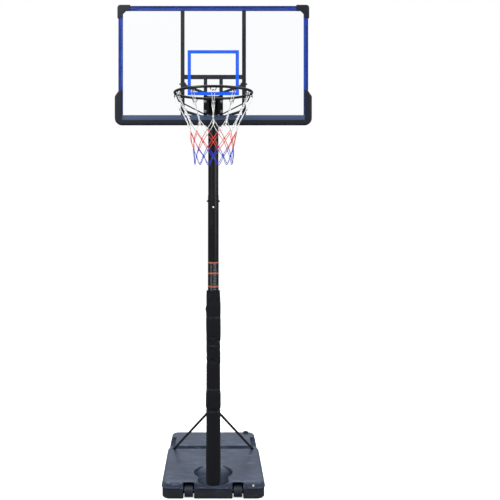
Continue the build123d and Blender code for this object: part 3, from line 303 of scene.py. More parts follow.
def cut_foam(name, colour, pale, low, high, half):
    """Moulded EVA foam with a closed skin: matt and finely pored, with a painted highlight on its
    bevel.
    """
    material, tree = new_tree(name)
    rub = spread(tree, pattern(tree, 60 * MM, 6.0, (0.5, 1, 1)), 0.4, 0.75)
    axes = axes_of(tree)
    above = spread(tree, axes["Z"], low, low + 3 * MM)
    below = spread(tree, axes["Z"], high + 2 * MM, high)
    between = spread(tree, maths(tree, "ABSOLUTE", axes["X"]), half + 4 * MM, half)
    # Painted highlight: the bevelled band between low and high, inside the upright ends, takes the
    # paler colour
    band = maths(tree, "MULTIPLY", maths(tree, "MULTIPLY", above, below), between)
    pores = pattern(tree, 1.8 * MM, kind="ShaderNodeTexVoronoi")
    finish_tree(tree, {
        "Base Color": blend_colour(
            tree, band, blend_colour(tree, rub, colour, shade(colour, 1.3)),
            blend_colour(tree, rub, pale, shade(pale, 1.15))),
        "Roughness": spread(tree, rub, 0, 1, 0.55, 0.7), "Sheen Weight": 0.05,
        "Specular IOR Level": 0.32,
        "Sheen Roughness": 0.5, "Normal": relief(tree, pores, 0.14 * MM, 0.5)})
    return material


def woven_cover(name, colour, radius):
    """Oxford weave round a pole. Its 0.5 mm threads are drawn 1.5 mm apart, so that they show."""
    material, tree = new_tree(name)
    thread = 1.5 * MM
    axes = axes_of(tree)
    angle = maths(tree, "ARCTAN2", axes["Y"], axes["X"])
    turns = round(2 * math.pi * radius / thread)
    warp = maths(tree, "SINE", maths(tree, "MULTIPLY", angle, turns))
    weft = maths(tree, "SINE", maths(tree, "MULTIPLY", axes["Z"], 2 * math.pi / thread))
    weave = maths(tree, "MULTIPLY", warp, weft)
    fade = spread(tree, pattern(tree, 80 * MM, 5.0), 0.35, 0.72)
    base = blend_colour(tree, fade, colour, shade(colour, 1.4))
    base = blend_colour(tree, spread(tree, weave, -1, 1, 0, 0.35), base, shade(colour, 0.6))
    finish_tree(tree, {
        "Base Color": base, "Roughness": 0.82, "Sheen Weight": 0.06, "Sheen Roughness": 0.4,
        "Specular IOR Level": 0.3,
        "Normal": relief(tree, weave, 0.18 * MM, 0.6,
                         relief(tree, pattern(tree, 9 * MM, 3.0), 0.5 * MM, 0.4))})
    return material


def braided_cord(name, colour):
    """Braided polyester cord with a soft fuzz."""
    material, tree = new_tree(name)
    fibre = pattern(tree, 1.1 * MM, 3.0)
    soil = spread(tree, pattern(tree, 30 * MM, 4.0), 0.4, 0.75)
    finish_tree(tree, {
        "Base Color": blend_colour(tree, soil, colour, shade(colour, 0.88)),
        "Roughness": 0.75, "Sheen Weight": 0.3, "Sheen Roughness": 0.35,
        "Normal": relief(tree, fibre, 0.25 * MM, 0.7)})
    return material


def clear_polycarbonate(name):
    """Extruded clear sheet: nearly invisible, with a faint cool tint and a gloss."""
    material, tree = new_tree(name)
    haze = spread(tree, pattern(tree, 45 * MM, 6.0), 0.35, 0.8)
    finish_tree(tree, {
        "Base Color": linear("#9fb4cc"), "Alpha": 0.03, "IOR": 1.58,
        "Roughness": spread(tree, haze, 0, 1, 0.04, 0.12)})
    return material


def screen_print(name, colour):
    """Screen-printed enamel on the clear sheet: flat, bright and slightly see-through."""
    material, tree = new_tree(name)
    ink = spread(tree, pattern(tree, 14 * MM, 4.0), 0.3, 0.75)
    finish_tree(tree, {
        "Base Color": blend_colour(tree, ink, colour, shade(colour, 0.92)),
        "Roughness": spread(tree, ink, 0, 1, 0.3, 0.4), "Alpha": 0.975,
        "Normal": relief(tree, pattern(tree, 0.9 * MM), 0.02 * MM, 0.4)})
    return material


SCALE_BANDS = (0.14, 0.60, 0.975)   # as shares of the wrap's height
BAND_HALF = 0.028
# Each column of ticks: its middle across the pole, its half width and its pitch
SCALE_TICKS = ((-0.015, 0.006, 7 * MM), (0.010, 0.010, 11 * MM))


def printed_scale(name, ground, band, tick, bottom, top):
    """Printed vinyl wrap: orange bands between columns of pale ticks."""
    material, tree = new_tree(name)
    axes = axes_of(tree)
    rise = spread(tree, axes["Z"], bottom, top)
    base = ground
    for height in SCALE_BANDS:
        off = maths(tree, "ABSOLUTE", maths(tree, "SUBTRACT", rise, height))
        base = blend_colour(tree, maths(tree, "LESS_THAN", off, BAND_HALF), base, band)
    uneven = spread(tree, pattern(tree, 7 * MM, 3.0), 0.35, 0.65, -0.003, 0.003)
    for column, width, pitch in SCALE_TICKS:
        aside = maths(tree, "ABSOLUTE", maths(tree, "SUBTRACT", axes["X"], column))
        inside = maths(tree, "LESS_THAN", aside, maths(tree, "ADD", uneven, width))
        step = maths(tree, "FRACT", maths(tree, "DIVIDE", axes["Z"], pitch))
        mark = maths(tree, "MULTIPLY", inside, maths(tree, "LESS_THAN", step, 0.45))
        face = maths(tree, "LESS_THAN", axes["Y"], 0)
        mark = maths(tree, "MULTIPLY", mark, face)
        base = blend_colour(tree, maths(tree, "MULTIPLY", mark, 0.7), base, tick)
    finish_tree(tree, {
        "Base Color": base, "Roughness": spread(tree, pattern(tree, 20 * MM), 0.3, 0.7, 0.3, 0.42),
        "Normal": relief(tree, pattern(tree, 1.2 * MM), 0.04 * MM, 0.4)})
    return material


def damp_sand(name):
    """Filling sand, unseen inside the tank."""
    material, tree = new_tree(name)
    grit = spread(tree, pattern(tree, 2 * MM, 3.0), 0.3, 0.7)
    finish_tree(tree, {
        "Base Color": blend_colour(tree, grit, linear("#8f7f63"), linear("#c4b48f")),
        "Roughness": 0.95, "Normal": relief(tree, grit, 0.5 * MM)})
    return material


# ---- Mesh tools ----
def new_piece(name, verts, faces, material, body, smooth=True):
    """A mesh object in the row frame that rides on a body."""
    mesh = bpy.data.meshes.new(name)
    mesh.from_pydata([tuple(v) for v in verts], [], faces)
    mesh.validate()
    mesh.update()
    if smooth:
        mesh.shade_smooth()
    mesh.materials.append(material)
    piece = bpy.data.objects.new(name, mesh)
    bpy.context.scene.collection.objects.link(piece)
    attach(piece, body)
    return piece


def piece_from(work, name, material, body):
    """A mesh object made from a bmesh, which it frees."""
    mesh = bpy.data.meshes.new(name)
    work.to_mesh(mesh)
    work.free()
    mesh.materials.append(material)
    piece = bpy.data.objects.new(name, mesh)
    bpy.context.scene.collection.objects.link(piece)
    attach(piece, body)
    return piece


def face_outward(piece):
    """Makes a closed mesh's faces look outward."""
    work = bmesh.new()
    work.from_mesh(piece.data)
    bmesh.ops.recalc_face_normals(work, faces=work.faces)
    work.to_mesh(piece.data)
    work.free()
    piece.data.update()


def dress(nodes, material):
    """Gives carried-over nodes a material."""
    for node in nodes:
        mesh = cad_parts[node].data
        mesh.materials.clear()
        mesh.materials.append(material)


def soften(nodes, width):
    """Rounds the hard edges of carried-over nodes."""
    for node in nodes:
        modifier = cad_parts[node].modifiers.new("edges", "BEVEL")
        modifier.width = width
        modifier.segments = 2
        modifier.limit_method = "ANGLE"
        modifier.angle_limit = math.radians(40)
        modifier.harden_normals = False


def apply_modifiers(piece):
    """Makes a piece's modifiers part of its mesh."""
    graph = bpy.context.evaluated_depsgraph_get()
    mesh = bpy.data.meshes.new_from_object(piece.evaluated_get(graph))
    old = piece.data
    piece.modifiers.clear()
    piece.data = mesh
    bpy.data.meshes.remove(old)
    mesh.name = piece.name


def weld_copy(node):
    """A bmesh copy of a node with its split corners joined."""
    work = bmesh.new()
    work.from_mesh(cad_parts[node].data)
    bmesh.ops.remove_doubles(work, verts=work.verts, dist=0.01 * MM)
    return work


def voxels(piece, size, rounds):
    """Rebuilds a piece's skin as an even grid and relaxes it."""
    remesh = piece.modifiers.new("voxels", "REMESH")
    remesh.mode = "VOXEL"
    remesh.voxel_size = size
    relax = piece.modifiers.new("relax", "SMOOTH")
    relax.iterations = rounds
    apply_modifiers(piece)


def subdivide(piece, levels=1):
    """Rounds a piece's faces once more."""
    smooth = piece.modifiers.new("rounding", "SUBSURF")
    smooth.levels = smooth.render_levels = levels
    apply_modifiers(piece)
    piece.data.shade_smooth()


def carve(piece, cutters):
    """Cuts closed shapes out of a piece."""
    for verts, faces in cutters:
        cutter = new_piece("cutter", verts, faces, piece.data.materials[0], "base")
        face_outward(cutter)
        cut = piece.modifiers.new("cut", "BOOLEAN")
        cut.operation = "DIFFERENCE"
        cut.solver = "EXACT"
        cut.use_self = True
        cut.object = cutter
        apply_modifiers(piece)
        bpy.data.objects.remove(cutter)


def smooth_path(points, step):
    """Points about a step apart on a smooth curve through the given ones."""
    knots = [points[0] * 2 - points[1], *points, points[-1] * 2 - points[-2]]
    path = []
    for a, b, c, d in zip(knots, knots[1:], knots[2:], knots[3:]):
        count = max(2, round((c - b).length / step))
        for i in range(count):
            t = i / count
            path.append((b * 2 + (c - a) * t + (a * 2 - b * 5 + c * 4 - d) * t * t
                         + (b * 3 - a - c * 3 + d) * t ** 3) / 2)
    return [*path, points[-1]]


def sweep(path, section, side=None, closed=False):
    """A tube along a path. section(distance) gives its outline across the path."""
    verts, faces = [], []
    count = len(path)
    distance = 0.0
    for i, point in enumerate(path):
        before = path[i - 1] if i or closed else path[0]
        after = path[(i + 1) % count] if i < count - 1 or closed else path[-1]
        along = (after - before).normalized()
        if side is None:
            side = along.orthogonal()
        side = (side - along * side.dot(along)).normalized()
        up = along.cross(side)
        distance += (point - path[i - 1]).length if i else 0.0
        outline = section(distance)
        verts += [point + side * x + up * y for x, y in outline]
    size = len(outline)
    for i in range(count if closed else count - 1):
        a, b = i * size, (i + 1) % count * size
        faces += [(a + k, a + (k + 1) % size, b + (k + 1) % size, b + k) for k in range(size)]
    if not closed:
        faces += [tuple(range(size))[::-1], tuple(range((count - 1) * size, count * size))]
    return verts, faces


def merge(parts):
    """Several vertex and face lists as one."""
    verts, faces = [], []
    for more_verts, more_faces in parts:
        start = len(verts)
        verts += more_verts
        faces += [tuple(start + k for k in face) for face in more_faces]
    return verts, faces


def mirror_part(part):
    """The same part on the other side of the pole."""
    verts, faces = part
    return [Vector((-v.x, v.y, v.z)) for v in verts], [face[::-1] for face in faces]


def ellipse(width, height, count=20):
    """Outline of an ellipse."""
    turns = [2 * math.pi * k / count for k in range(count)]
    return [(width / 2 * math.cos(a), height / 2 * math.sin(a)) for a in turns]


# ---- Base tank ----
TANK_INSET = 6 * MM     # of the upper shell's wall from the flange's edge
DECK_Z = 125 * MM
LIP_Z = 94 * MM         # of the dip in the front lip
FLANGE_RISE = 77 * MM   # of the seam between the two shells
# Half widths and rises above the flange, then half widths and heights, both from the outer end
BROW_BEAD = ((0.094, 0), (0.071, 0.002), (0.060, 0.018), (0.048, 0.034), (0.036, 0.040))
LIP_BEAD = ((0.125, DECK_Z - 0.005), (0.112, DECK_Z - 0.011), (0.073, LIP_Z), (0.062, LIP_Z - 0.003))
BROW_BEAD_R = 4.5 * MM
LIP_BEAD_R = 5 * MM
# A stopper closes the bore behind each cap: its shift from the cap's middle, its turn and depth
STOPPERS = (("fill_cap", Vector((0, 0, -8 * MM)), 0, 14 * MM),
            ("drain_plug", Vector((0, 10 * MM, 0)), math.pi / 2, 12 * MM))
STOPPER_R = 12 * MM


def tank_beads(work):
    """The moulded bead round the wheel notches and along the front lip of the tank."""
    shell = BVHTree.FromBMesh(work)
    wheel = middle("wheel_right").x
    flange = TANK_LOW.z + FLANGE_RISE

    def on_front(x, z, radius):
        hit = shell.ray_cast(Vector((x, TANK_LOW.y - 50 * MM, z)), Vector((0, 1, 0)))[0]
        depth = hit.y if hit and hit.y < TANK_LOW.y + 40 * MM else TANK_LOW.y + TANK_INSET
        return Vector((x, max(depth + 0.3 * radius, TANK_LOW.y + radius), z))

    side = [(wheel + half, flange + rise) for half, rise in BROW_BEAD]
    side += [(wheel - half, flange + rise) for half, rise in reversed(BROW_BEAD)]
    lip = [*LIP_BEAD, *[(-x, z) for x, z in reversed(LIP_BEAD)]]
    parts = []
    for points, radius in ((side, BROW_BEAD_R), ([(-x, z) for x, z in side], BROW_BEAD_R),
                           (lip, LIP_BEAD_R)):
        flat = smooth_path([Vector((x, 0, z)) for x, z in points], 4 * MM)
        path = [on_front(point.x, point.z, radius) for point in flat]
        parts.append(sweep(path, lambda distance: ellipse(2 * radius, 2 * radius, 10)))
    return merge(parts)


def build_tank():
    """Makes the tank's skin with the soft edges that blow moulding leaves."""
    hdpe = blow_moulded_hdpe("blow_moulded_hdpe", colours().tank, colours().tank_scuff,
                             FLANGE_RISE - 2 * MM)
    work = weld_copy("base_tank")
    for node, shift, turn, depth in STOPPERS:
        place = Matrix.Translation(middle(node) + shift) @ Matrix.Rotation(turn, 4, "X")
        bmesh.ops.create_cone(work, cap_ends=True, segments=32, radius1=STOPPER_R,
                              radius2=STOPPER_R, depth=depth, matrix=place)
    beads = bpy.data.meshes.new("beads")
    verts, faces = tank_beads(work)
    beads.from_pydata([tuple(v) for v in verts], [], faces)
    work.from_mesh(beads)
    bpy.data.meshes.remove(beads)
    shell = piece_from(work, "tank_shell", hdpe, "base")
    voxels(shell, sizes().softening, 4)
    shell.data.shade_smooth()
    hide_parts("base_tank")
    dress(["sand_ballast"], damp_sand("damp_sand"))


def build_caps():
    """Finishes the fill cap and the drain plug."""
    cap = moulded_plastic("injection_moulded_black", linear("#1d1f23"), 0.38, 1.0 * MM)
    plug = moulded_plastic("injection_moulded_white", linear("#efefea"), 0.42, 1.0 * MM)
    seal = moulded_plastic("moulded_seal_rubber", linear("#161616"), 0.7, 1.5 * MM)
    dress(["fill_cap", "guide_plug", "pole_top_cap"], cap)
    dress(["drain_plug"], plug)
    dress(["cap_seal"], seal)


# ---- Steel parts ----
ZINC_NODES = ("wheel_axle", "axle_retainers", "joint_sleeve", "lock_screw_right",
              "lock_screw_left", "strut_bolt", "foot_bolts", "arm_spacers",
              "pole_bolts", "pole_nuts", "arm_bolts", "arm_nuts", "rim_bolts", "rim_nuts")


def build_wheels():
    """Finishes the wheels."""
    dress(["wheel_right", "wheel_left"],
          moulded_plastic("moulded_wheel_plastic", colours().wheel, 0.32, 1.2 * MM))


def build_fasteners():
    """Finishes the bolts, nuts, screws and the axle."""
    dress(ZINC_NODES, zinc_plate("zinc_plated_steel", colours().zinc))


def build_pole():
    """Finishes the pole's tubes."""
    paint = powder_coat("powder_coated_black", colours().pole, 0.36)
    dress(["lower_pole", "middle_pole", "upper_pole"], paint)


def build_scale():
    """Finishes the height scale on the pole."""
    dress(["height_scale"], printed_scale(
        "printed_vinyl_scale", linear("#15161b"), colours().band, linear("#8c8f94"),
        SCALE_LOW.z, SCALE_HIGH.z))


def build_board():
    """Finishes the sheet, its target, the tubes behind it and the corner protectors."""
    blue = powder_coat("enamelled_blue_steel", colours().frame_blue, 0.3)
    dark = powder_coat("powder_coated_grey", colours().frame_dark, 0.38)
    rails = ["side_rail_right", "side_rail_left", "top_rail"]
    tubes = ["upright_right", "upright_left", "cross_tube", "rim_support_right",
             "rim_support_left", "bottom_rail"]
    dress([*rails, "sheet_screws"], blue)
    dress(tubes, dark)
    soften(rails + tubes, 2 * MM)
    dress(["backboard_sheet"], clear_polycarbonate("extruded_polycarbonate"))
    dress(["target_rectangle"], screen_print("screen_printed_blue", colours().target))
    caps = ["corner_cap_right", "corner_cap_left"]
    dress(caps, moulded_plastic("injection_moulded_corner", colours().corner, 0.4, 1.1 * MM))
    soften(caps, 1.5 * MM)


def build_rim():
    """Finishes the ring, its bracket and braces, and the net's hooks."""
    paint = powder_coat("powder_coated_rim", colours().rim, 0.32)
    dress(["rim_ring", "rim_bracket", "rim_braces", "net_hooks"], paint)
    soften(["rim_bracket"], 1 * MM)


# ---- Padded pieces ----
def settle_cover(piece, held, pressure, reach, growth):
    """Lets a cover settle over its filling as simulated cloth, held where held(point) is true."""
    mesh = piece.data
    pins = piece.vertex_groups.new(name="pins")
    pins.add([v.index for v in mesh.vertices if held(v.co)], 1.0, "REPLACE")
    cloth = piece.modifiers.new("cloth", "CLOTH")
    cloth.settings.vertex_group_mass = "pins"
    cloth.settings.quality = 6
    cloth.settings.use_pressure = True
    cloth.settings.uniform_pressure_force = pressure
    cloth.settings.shrink_min = -growth
    cloth.settings.bending_stiffness = 8
    cloth.settings.effector_weights.gravity = 0
    cloth.point_cache.frame_start = 1
    cloth.point_cache.frame_end = COVER_FRAMES
    start = [v.co.copy() for v in mesh.vertices]
    for step in range(1, COVER_FRAMES + 1):
        bpy.context.scene.frame_set(step)
    graph = bpy.context.evaluated_depsgraph_get()
    settled = [v.co.copy() for v in piece.evaluated_get(graph).data.vertices]
    piece.modifiers.remove(cloth)
    bpy.context.scene.frame_set(1)
    for vert, before, after in zip(mesh.vertices, start, settled):
        moved = after - before
        vert.co = before + moved * min(1.0, reach / max(moved.length, 1e-9))
    mesh.update()


def eased(points, value):
    """A smooth value from (place, value) pairs."""
    for (a, first), (b, second) in zip(points, points[1:]):
        if value <= b:
            t = min(1.0, max(0.0, (value - a) / (b - a)))
            return first + (second - first) * (3 - 2 * t) * t * t
    return points[-1][1]


# Heights of the pole pad's seams, then its width at heights from its foot up
COVER_SEAMS = (1.28, 1.08, 0.77, 0.615)
COVER_GIRTH = ((0.096, 0.096), (0.13, 0.104), (0.30, 0.104), (0.41, 0.101), (0.595, 0.101),
               (0.615, 0.0985), (0.645, 0.108), (0.73, 0.107), (0.77, 0.0985), (0.80, 0.099),
               (1.04, 0.099), (1.08, 0.099), (1.19, 0.1045), (1.26, 0.1045), (1.28, 0.102),
               (1.30, 0.104), (1.35, 0.104), (1.40, 0.099), (1.466, 0.095))
COVER_REACH = PAD_HIGH.x + 5 * MM   # farthest that the cover stands from the pole's axis
COVER_PRESSURE = 4.0    # the foam's push on the cover
COVER_GROWTH = 0.009    # spare cloth in the cover
COVER_FRAMES = 20       # time that the cloth has to settle
PAD_VOXEL = 4.5 * MM
SLIT_GAP = 1.5 * MM     # round a strut
FLAP_Z = 1.335          # lifted end of the cover's flap
BOLT_Z = (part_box("strut_bolt")[0][2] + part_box("strut_bolt")[1][2]) / 2
BOLT_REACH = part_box("strut_bolt")[1][0]


def cover_radius(angle, z):
    """The pole pad's outside: its girth, the strut bolt's ends, the lifted end of its flap and
    soft unevenness."""
    girth = eased(COVER_GIRTH, z) / 2
    aside = min(abs(math.remainder(angle, math.pi)), 1.0) * girth
    bolt = math.exp(-(aside / 0.016) ** 2 - ((z - BOLT_Z) / 0.02) ** 2)
    girth += max(0.0, BOLT_REACH + 2 * MM - girth) * bolt
    beside = math.remainder(angle - math.pi, 2 * math.pi)
    girth += 5 * MM * math.exp(-(beside / 0.4) ** 2 - ((z - FLAP_Z) / 0.016) ** 2)
    wave = noise.noise(Vector((math.cos(angle) * 1.3, math.sin(angle) * 1.3, z * 9)))
    return min(girth + 0.9 * MM * wave, COVER_REACH)


def turned(angle, radius, z):
    """A point round the pole."""
    return Vector((radius * math.cos(angle), radius * math.sin(angle), z))


STRUT_D = 18 * MM
STRUT_LUG_T = 5 * MM
STRUT_LUG_WIDTH = 24 * MM
STRUT_FLAT = 26 * MM    # length pressed flat at each end


def strut_points():
    """The right strut's pin at the pole, where its tube starts and ends, and its foot pin."""
    low, high = (Vector(corner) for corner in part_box("strut_right"))
    half = STRUT_LUG_WIDTH / 2
    top = Vector((POLE_RADIUS + STRUT_LUG_T / 2, low.y + half, high.z - half))
    foot = Vector((high.x - STRUT_D / 2, high.y - half, low.z + half))
    along = Vector((0, foot.y - top.y, foot.z - top.z)).normalized()
    return top, foot, along


def flat_to_round(lug_t, lug_width, diameter, flat, length, grow=0.0, count=24):
    """Outline of a tube whose ends are flattened for a bolt, over a flat run at each end."""
    def outline(distance):
        near = min(distance, length - distance)
        t = min(1.0, max(0.0, (near - flat) / (1.6 * diameter)))
        t = (3 - 2 * t) * t * t
        tip = min(1.0, math.sqrt(max(0.02, 1 - max(0.0, 1 - near / (lug_width / 2)) ** 2)))
        width = (lug_t + (diameter - lug_t) * t) / 2 + grow
        height = ((lug_width + (diameter - lug_width) * t) / 2 + grow) * tip
        power = 0.55 + 0.45 * t
        turns = [2 * math.pi * k / count for k in range(count)]
        return [(width * math.copysign(abs(math.cos(a)) ** power, math.cos(a)),
                 height * math.copysign(abs(math.sin(a)) ** power, math.sin(a))) for a in turns]
    return outline


def strut_part(grow=0.0):
    """The right strut's mesh, or a larger one to cut its slit in the pad."""
    top, foot, along = strut_points()
    half = STRUT_LUG_WIDTH / 2
    points = [top - along * half, top, top + along * 34 * MM]
    run = foot - along * 40 * MM
    points += [points[2].lerp(run, 0.06), points[2].lerp(run, 0.5), points[2].lerp(run, 0.94), run,
               foot, foot + along * half]
    path = smooth_path(points, 3 * MM)
    length = sum((b - a).length for a, b in zip(path, path[1:]))
    outline = flat_to_round(STRUT_LUG_T, STRUT_LUG_WIDTH, STRUT_D, STRUT_FLAT, length, grow)
    return sweep(path, outline, Vector((1, 0, 0)))


def flattened_tube(name, node, part, body):
    """A powder-coated tube with pressed ends that stands for a node."""
    piece = new_piece(name, *part, bpy.data.materials["powder_coated_black"], body)
    face_outward(piece)
    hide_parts(node)


def build_struts():
    """Makes the struts: round tubes pressed flat at both bolted ends."""
    right = strut_part()
    flattened_tube("strut_right_tube", "strut_right", right, "base")
    flattened_tube("strut_left_tube", "strut_left", mirror_part(right), "base")


ARM_D = 19 * MM
ARM_LUG_T = 6 * MM
ARM_LUG_WIDTH = 24 * MM
ARM_FLAT = 20 * MM
# The arm's two bends, across and along
ARM_KNEE = (60 * MM, -190 * MM)
ARM_ELBOW = (158 * MM, -290 * MM)


def arm_part(node):
    """A right arm, from its bolt at the pole's side to its bolt on the upright."""
    low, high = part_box(node)
    half = ARM_LUG_WIDTH / 2
    pole = Vector((low[0] + ARM_LUG_T / 2, high[1] - half, low[2] + half))
    upright_low, upright_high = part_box("upright_right")
    board = Vector((upright_low[0] - ARM_LUG_T / 2, (upright_low[1] + upright_high[1]) / 2,
                    high[2] - half))

    def at(x, y):
        return Vector((x, y, pole.z + (board.z - pole.z) * (y - pole.y) / (board.y - pole.y)))

    knee = at(*ARM_KNEE)
    elbow = at(*ARM_ELBOW)
    points = [at(pole.x, half), pole, at(pole.x, -34 * MM), at(pole.x + 4 * MM, -70 * MM),
              knee.lerp(at(pole.x, -70 * MM), 0.3), knee, knee.lerp(elbow, 0.2),
              knee.lerp(elbow, 0.8), elbow.lerp(at(board.x, board.y + 34 * MM), 0.5),
              at(board.x, board.y + 22 * MM), board, at(board.x, board.y - half)]
    path = smooth_path(points, 3 * MM)
    length = sum((b - a).length for a, b in zip(path, path[1:]))
    outline = flat_to_round(ARM_LUG_T, ARM_LUG_WIDTH, ARM_D, ARM_FLAT, length)
    return sweep(path, outline, Vector((1, 0, 0)))


def build_arms():
    """Makes the arms: bent tubes pressed flat at both bolted ends."""
    for level in ("upper", "lower"):
        right = arm_part("arm_" + level + "_right")
        for side, part in (("right", right), ("left", mirror_part(right))):
            node = "arm_" + level + "_" + side
            flattened_tube(node + "_tube", node, part, "head")


def cover_finder(pad):
    """A function that gives the point of a cover at an angle and height, set off outward."""
    tree = BVHTree.FromObject(pad, bpy.context.evaluated_depsgraph_get())

    def find(angle, z, off=0.0):
        out = turned(angle, 1.0, 0)
        hit = tree.ray_cast(turned(angle, 0.2, z), -out)[0]
        radius = math.hypot(hit.x, hit.y) if hit else cover_radius(angle, z)
        return turned(angle, radius + off, z)
    return find


def stitch_row(count, place):
    """A row of stitches. place(t, off) gives a point on the row from 0 to 1, set off outward."""
    parts = []
    for k in range(count):
        steps = [(k + share) / count for share in (0.12, 0.27, 0.5, 0.73, 0.88)]
        offs = (-0.5 * MM, 0.35 * MM, 0.6 * MM, 0.35 * MM, -0.5 * MM)
        path = [place(t, off) for t, off in zip(steps, offs)]
        parts.append(sweep(path, lambda distance: ellipse(1.1 * MM, 1.1 * MM, 6)))
    return merge(parts)


HEM_T = 2.6 * MM
HEM_WIDTH = 8 * MM
CLOSURE_HALF = 14 * MM      # half the closure strip's width
CLOSURE_STITCHES = 190
SEAM_STITCHES = 46


def sew_pole_pad(pad, woven):
    """Adds the pole pad's bound hems, its closure strip down the back and its stitching."""
    find = cover_finder(pad)
    low = PAD_LOW.z + 5 * MM
    high = PAD_HIGH.z - 5 * MM
    turns = [2 * math.pi * k / 90 for k in range(90)]
    hems = [sweep([find(a, z, 0.4 * MM) for a in turns],
                  lambda distance: ellipse(HEM_T, HEM_WIDTH, 12), Vector((1, 0, 0)), True)
            for z in (low, high)]
    back = math.pi / 2
    steps = round((high - low) / (8 * MM))
    line = [find(back, low + (high - low) * i / steps, 0.6 * MM) for i in range(steps + 1)]
    bend = PAD_HIGH.x

    def strip(distance):
        across = [CLOSURE_HALF * (k / 5 - 1) for k in range(11)]
        face = [(x, -1.4 * MM + x * x / bend / 2) for x in across]
        return face + [(x, 1.0 * MM + x * x / bend / 2) for x in reversed(across)]

    closure = sweep(line, strip, Vector((1, 0, 0)))
    trim = new_piece("pole_pad_binding", *merge(hems + [closure]), woven, "base")
    face_outward(trim)
    edge = (CLOSURE_HALF - 3 * MM) / bend
    rows = [stitch_row(CLOSURE_STITCHES, lambda t, off, a=back + side * edge: find(
        a, low + (high - low) * t, off + 1.6 * MM)) for side in (-1, 1)]
    rings = [z + side * 4 * MM for z in COVER_SEAMS for side in (-1, 1)]
    rows += [stitch_row(SEAM_STITCHES, lambda t, off, z=z: find(2 * math.pi * t, z, off))
             for z in rings]
    thread = braided_cord("polyester_sewing_thread", linear("#5a5e6c"))
    sewn = new_piece("pole_pad_stitching", *merge(rows), thread, "base")


def build_pole_pad():
    """Makes the pole pad: a sewn cover over foam, slit for the struts."""
    woven = woven_cover("woven_oxford_cover", colours().cover, PAD_HIGH.x)
    inner = POLE_RADIUS + 1.5 * MM
    rows = round((PAD_HIGH.z - PAD_LOW.z) / (6 * MM))
    count = 72
    verts, faces = [], []
    heights = [PAD_LOW.z + (PAD_HIGH.z - PAD_LOW.z) * i / rows for i in range(rows + 1)]
    for z in heights:
        angles = [2 * math.pi * k / count for k in range(count)]
        verts += [turned(a, cover_radius(a, z), z) for a in angles]
    for z in reversed(heights):
        verts += [turned(2 * math.pi * k / count, inner, z) for k in range(count)]
    total = 2 * (rows + 1)
    for i in range(total):
        a, b = i * count, (i + 1) % total * count
        faces += [(a + k, a + (k + 1) % count, b + (k + 1) % count, b + k)
                  for k in range(count)]
    pad = new_piece("pole_pad_cover", verts, faces, woven, "base")
    face_outward(pad)
    slit = strut_part(SLIT_GAP)
    carve(pad, [slit, mirror_part(slit)])
    voxels(pad, PAD_VOXEL, 3)

    def held(point):
        on_seam = any(abs(point.z - z) < 3 * MM for z in COVER_SEAMS)
        return math.hypot(point.x, point.y) < inner + 4 * MM or on_seam

    settle_cover(pad, held, COVER_PRESSURE, sizes().cover_slack, COVER_GROWTH)
    for vert in pad.data.vertices:
        reach = math.hypot(vert.co.x, vert.co.y)
        if reach > COVER_REACH:
            vert.co.x *= COVER_REACH / reach
            vert.co.y *= COVER_REACH / reach
    subdivide(pad)
    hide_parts("pole_pad")
    sew_pole_pad(pad, woven)


HIGHLIGHT_BAND_TOP = 67 * MM      # of the painted highlight band, above the edge pad's foot
END_WIDTH = 50 * MM     # of the edge pad's upright ends


def build_edge_pad():
    """Makes the soft edge round the board's foot."""
    crease = EDGE_LOW.z + sizes().edge_crease
    foam = cut_foam("skinned_eva_foam", colours().edge_foam, colours().edge_band_highlight, crease,
                    EDGE_LOW.z + HIGHLIGHT_BAND_TOP, EDGE_HIGH.x - END_WIDTH)
    pad = piece_from(weld_copy("bottom_pad"), "edge_pad", foam, "head")
    voxels(pad, PAD_VOXEL, 5)
    subdivide(pad)
    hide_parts("bottom_pad")


# ---- Net ----
HOOK_COUNT = 12
HOOK_WIRE = 5 * MM
LEG_APART = 9 * MM      # from the hook's middle to each of its two strands
KNOT_STRAY = 2.4 * MM   # how far a knot may lie from its even place
# Height and radius of each row of knots, from the top
NET_ROWS = ((2.585, 0.1650), (2.515, 0.1425), (2.463, 0.1320), (2.413, 0.1225), (2.368, 0.1180),
            (2.320, 0.1165))
WHITE_ROWS = 2          # the cord is white down to this row
RED_ROWS = 4            # then red down to this one, and blue below


def round_rim(turn, radius, z):
    """A point round the ring, at a turn counted in hooks from the front one."""
    angle = -math.pi / 2 + turn * 2 * math.pi / HOOK_COUNT
    return RIM_CENTRE + Vector((radius * math.cos(angle), radius * math.sin(angle),
                                z - RIM_CENTRE.z))


def net_knots(rng):
    """The net's knots by row and turn, each a little off its even place."""
    knots = {}
    for row, (z, radius) in enumerate(NET_ROWS):
        for i in range(HOOK_COUNT):
            turn = i + (row % 2) / 2
            place = round_rim(turn, radius, z)
            knots[row, turn] = place + Vector([rng.uniform(-KNOT_STRAY, KNOT_STRAY) for _ in range(3)])
    return knots


def strand_points(hook, knots):
    """One cord from a hook, down to the foot and up to the hook five places on."""
    last = len(NET_ROWS) - 1
    down = [(row, (hook + row / 2) % HOOK_COUNT) for row in range(last)]
    foot = [(last, (hook + last / 2) % HOOK_COUNT)]
    up = [(row, (hook + last - row / 2) % HOOK_COUNT) for row in reversed(range(last))]
    places = []
    for step, sign in ((down, 1), (foot, 0), (up, -1)):
        for row, turn in step:
            knot = knots[row, turn]
            outward = (knot - RIM_CENTRE) * Vector((1, 1, 0))
            places.append(knot + outward.normalized() * sign * sizes().cord * 0.35)
    return places


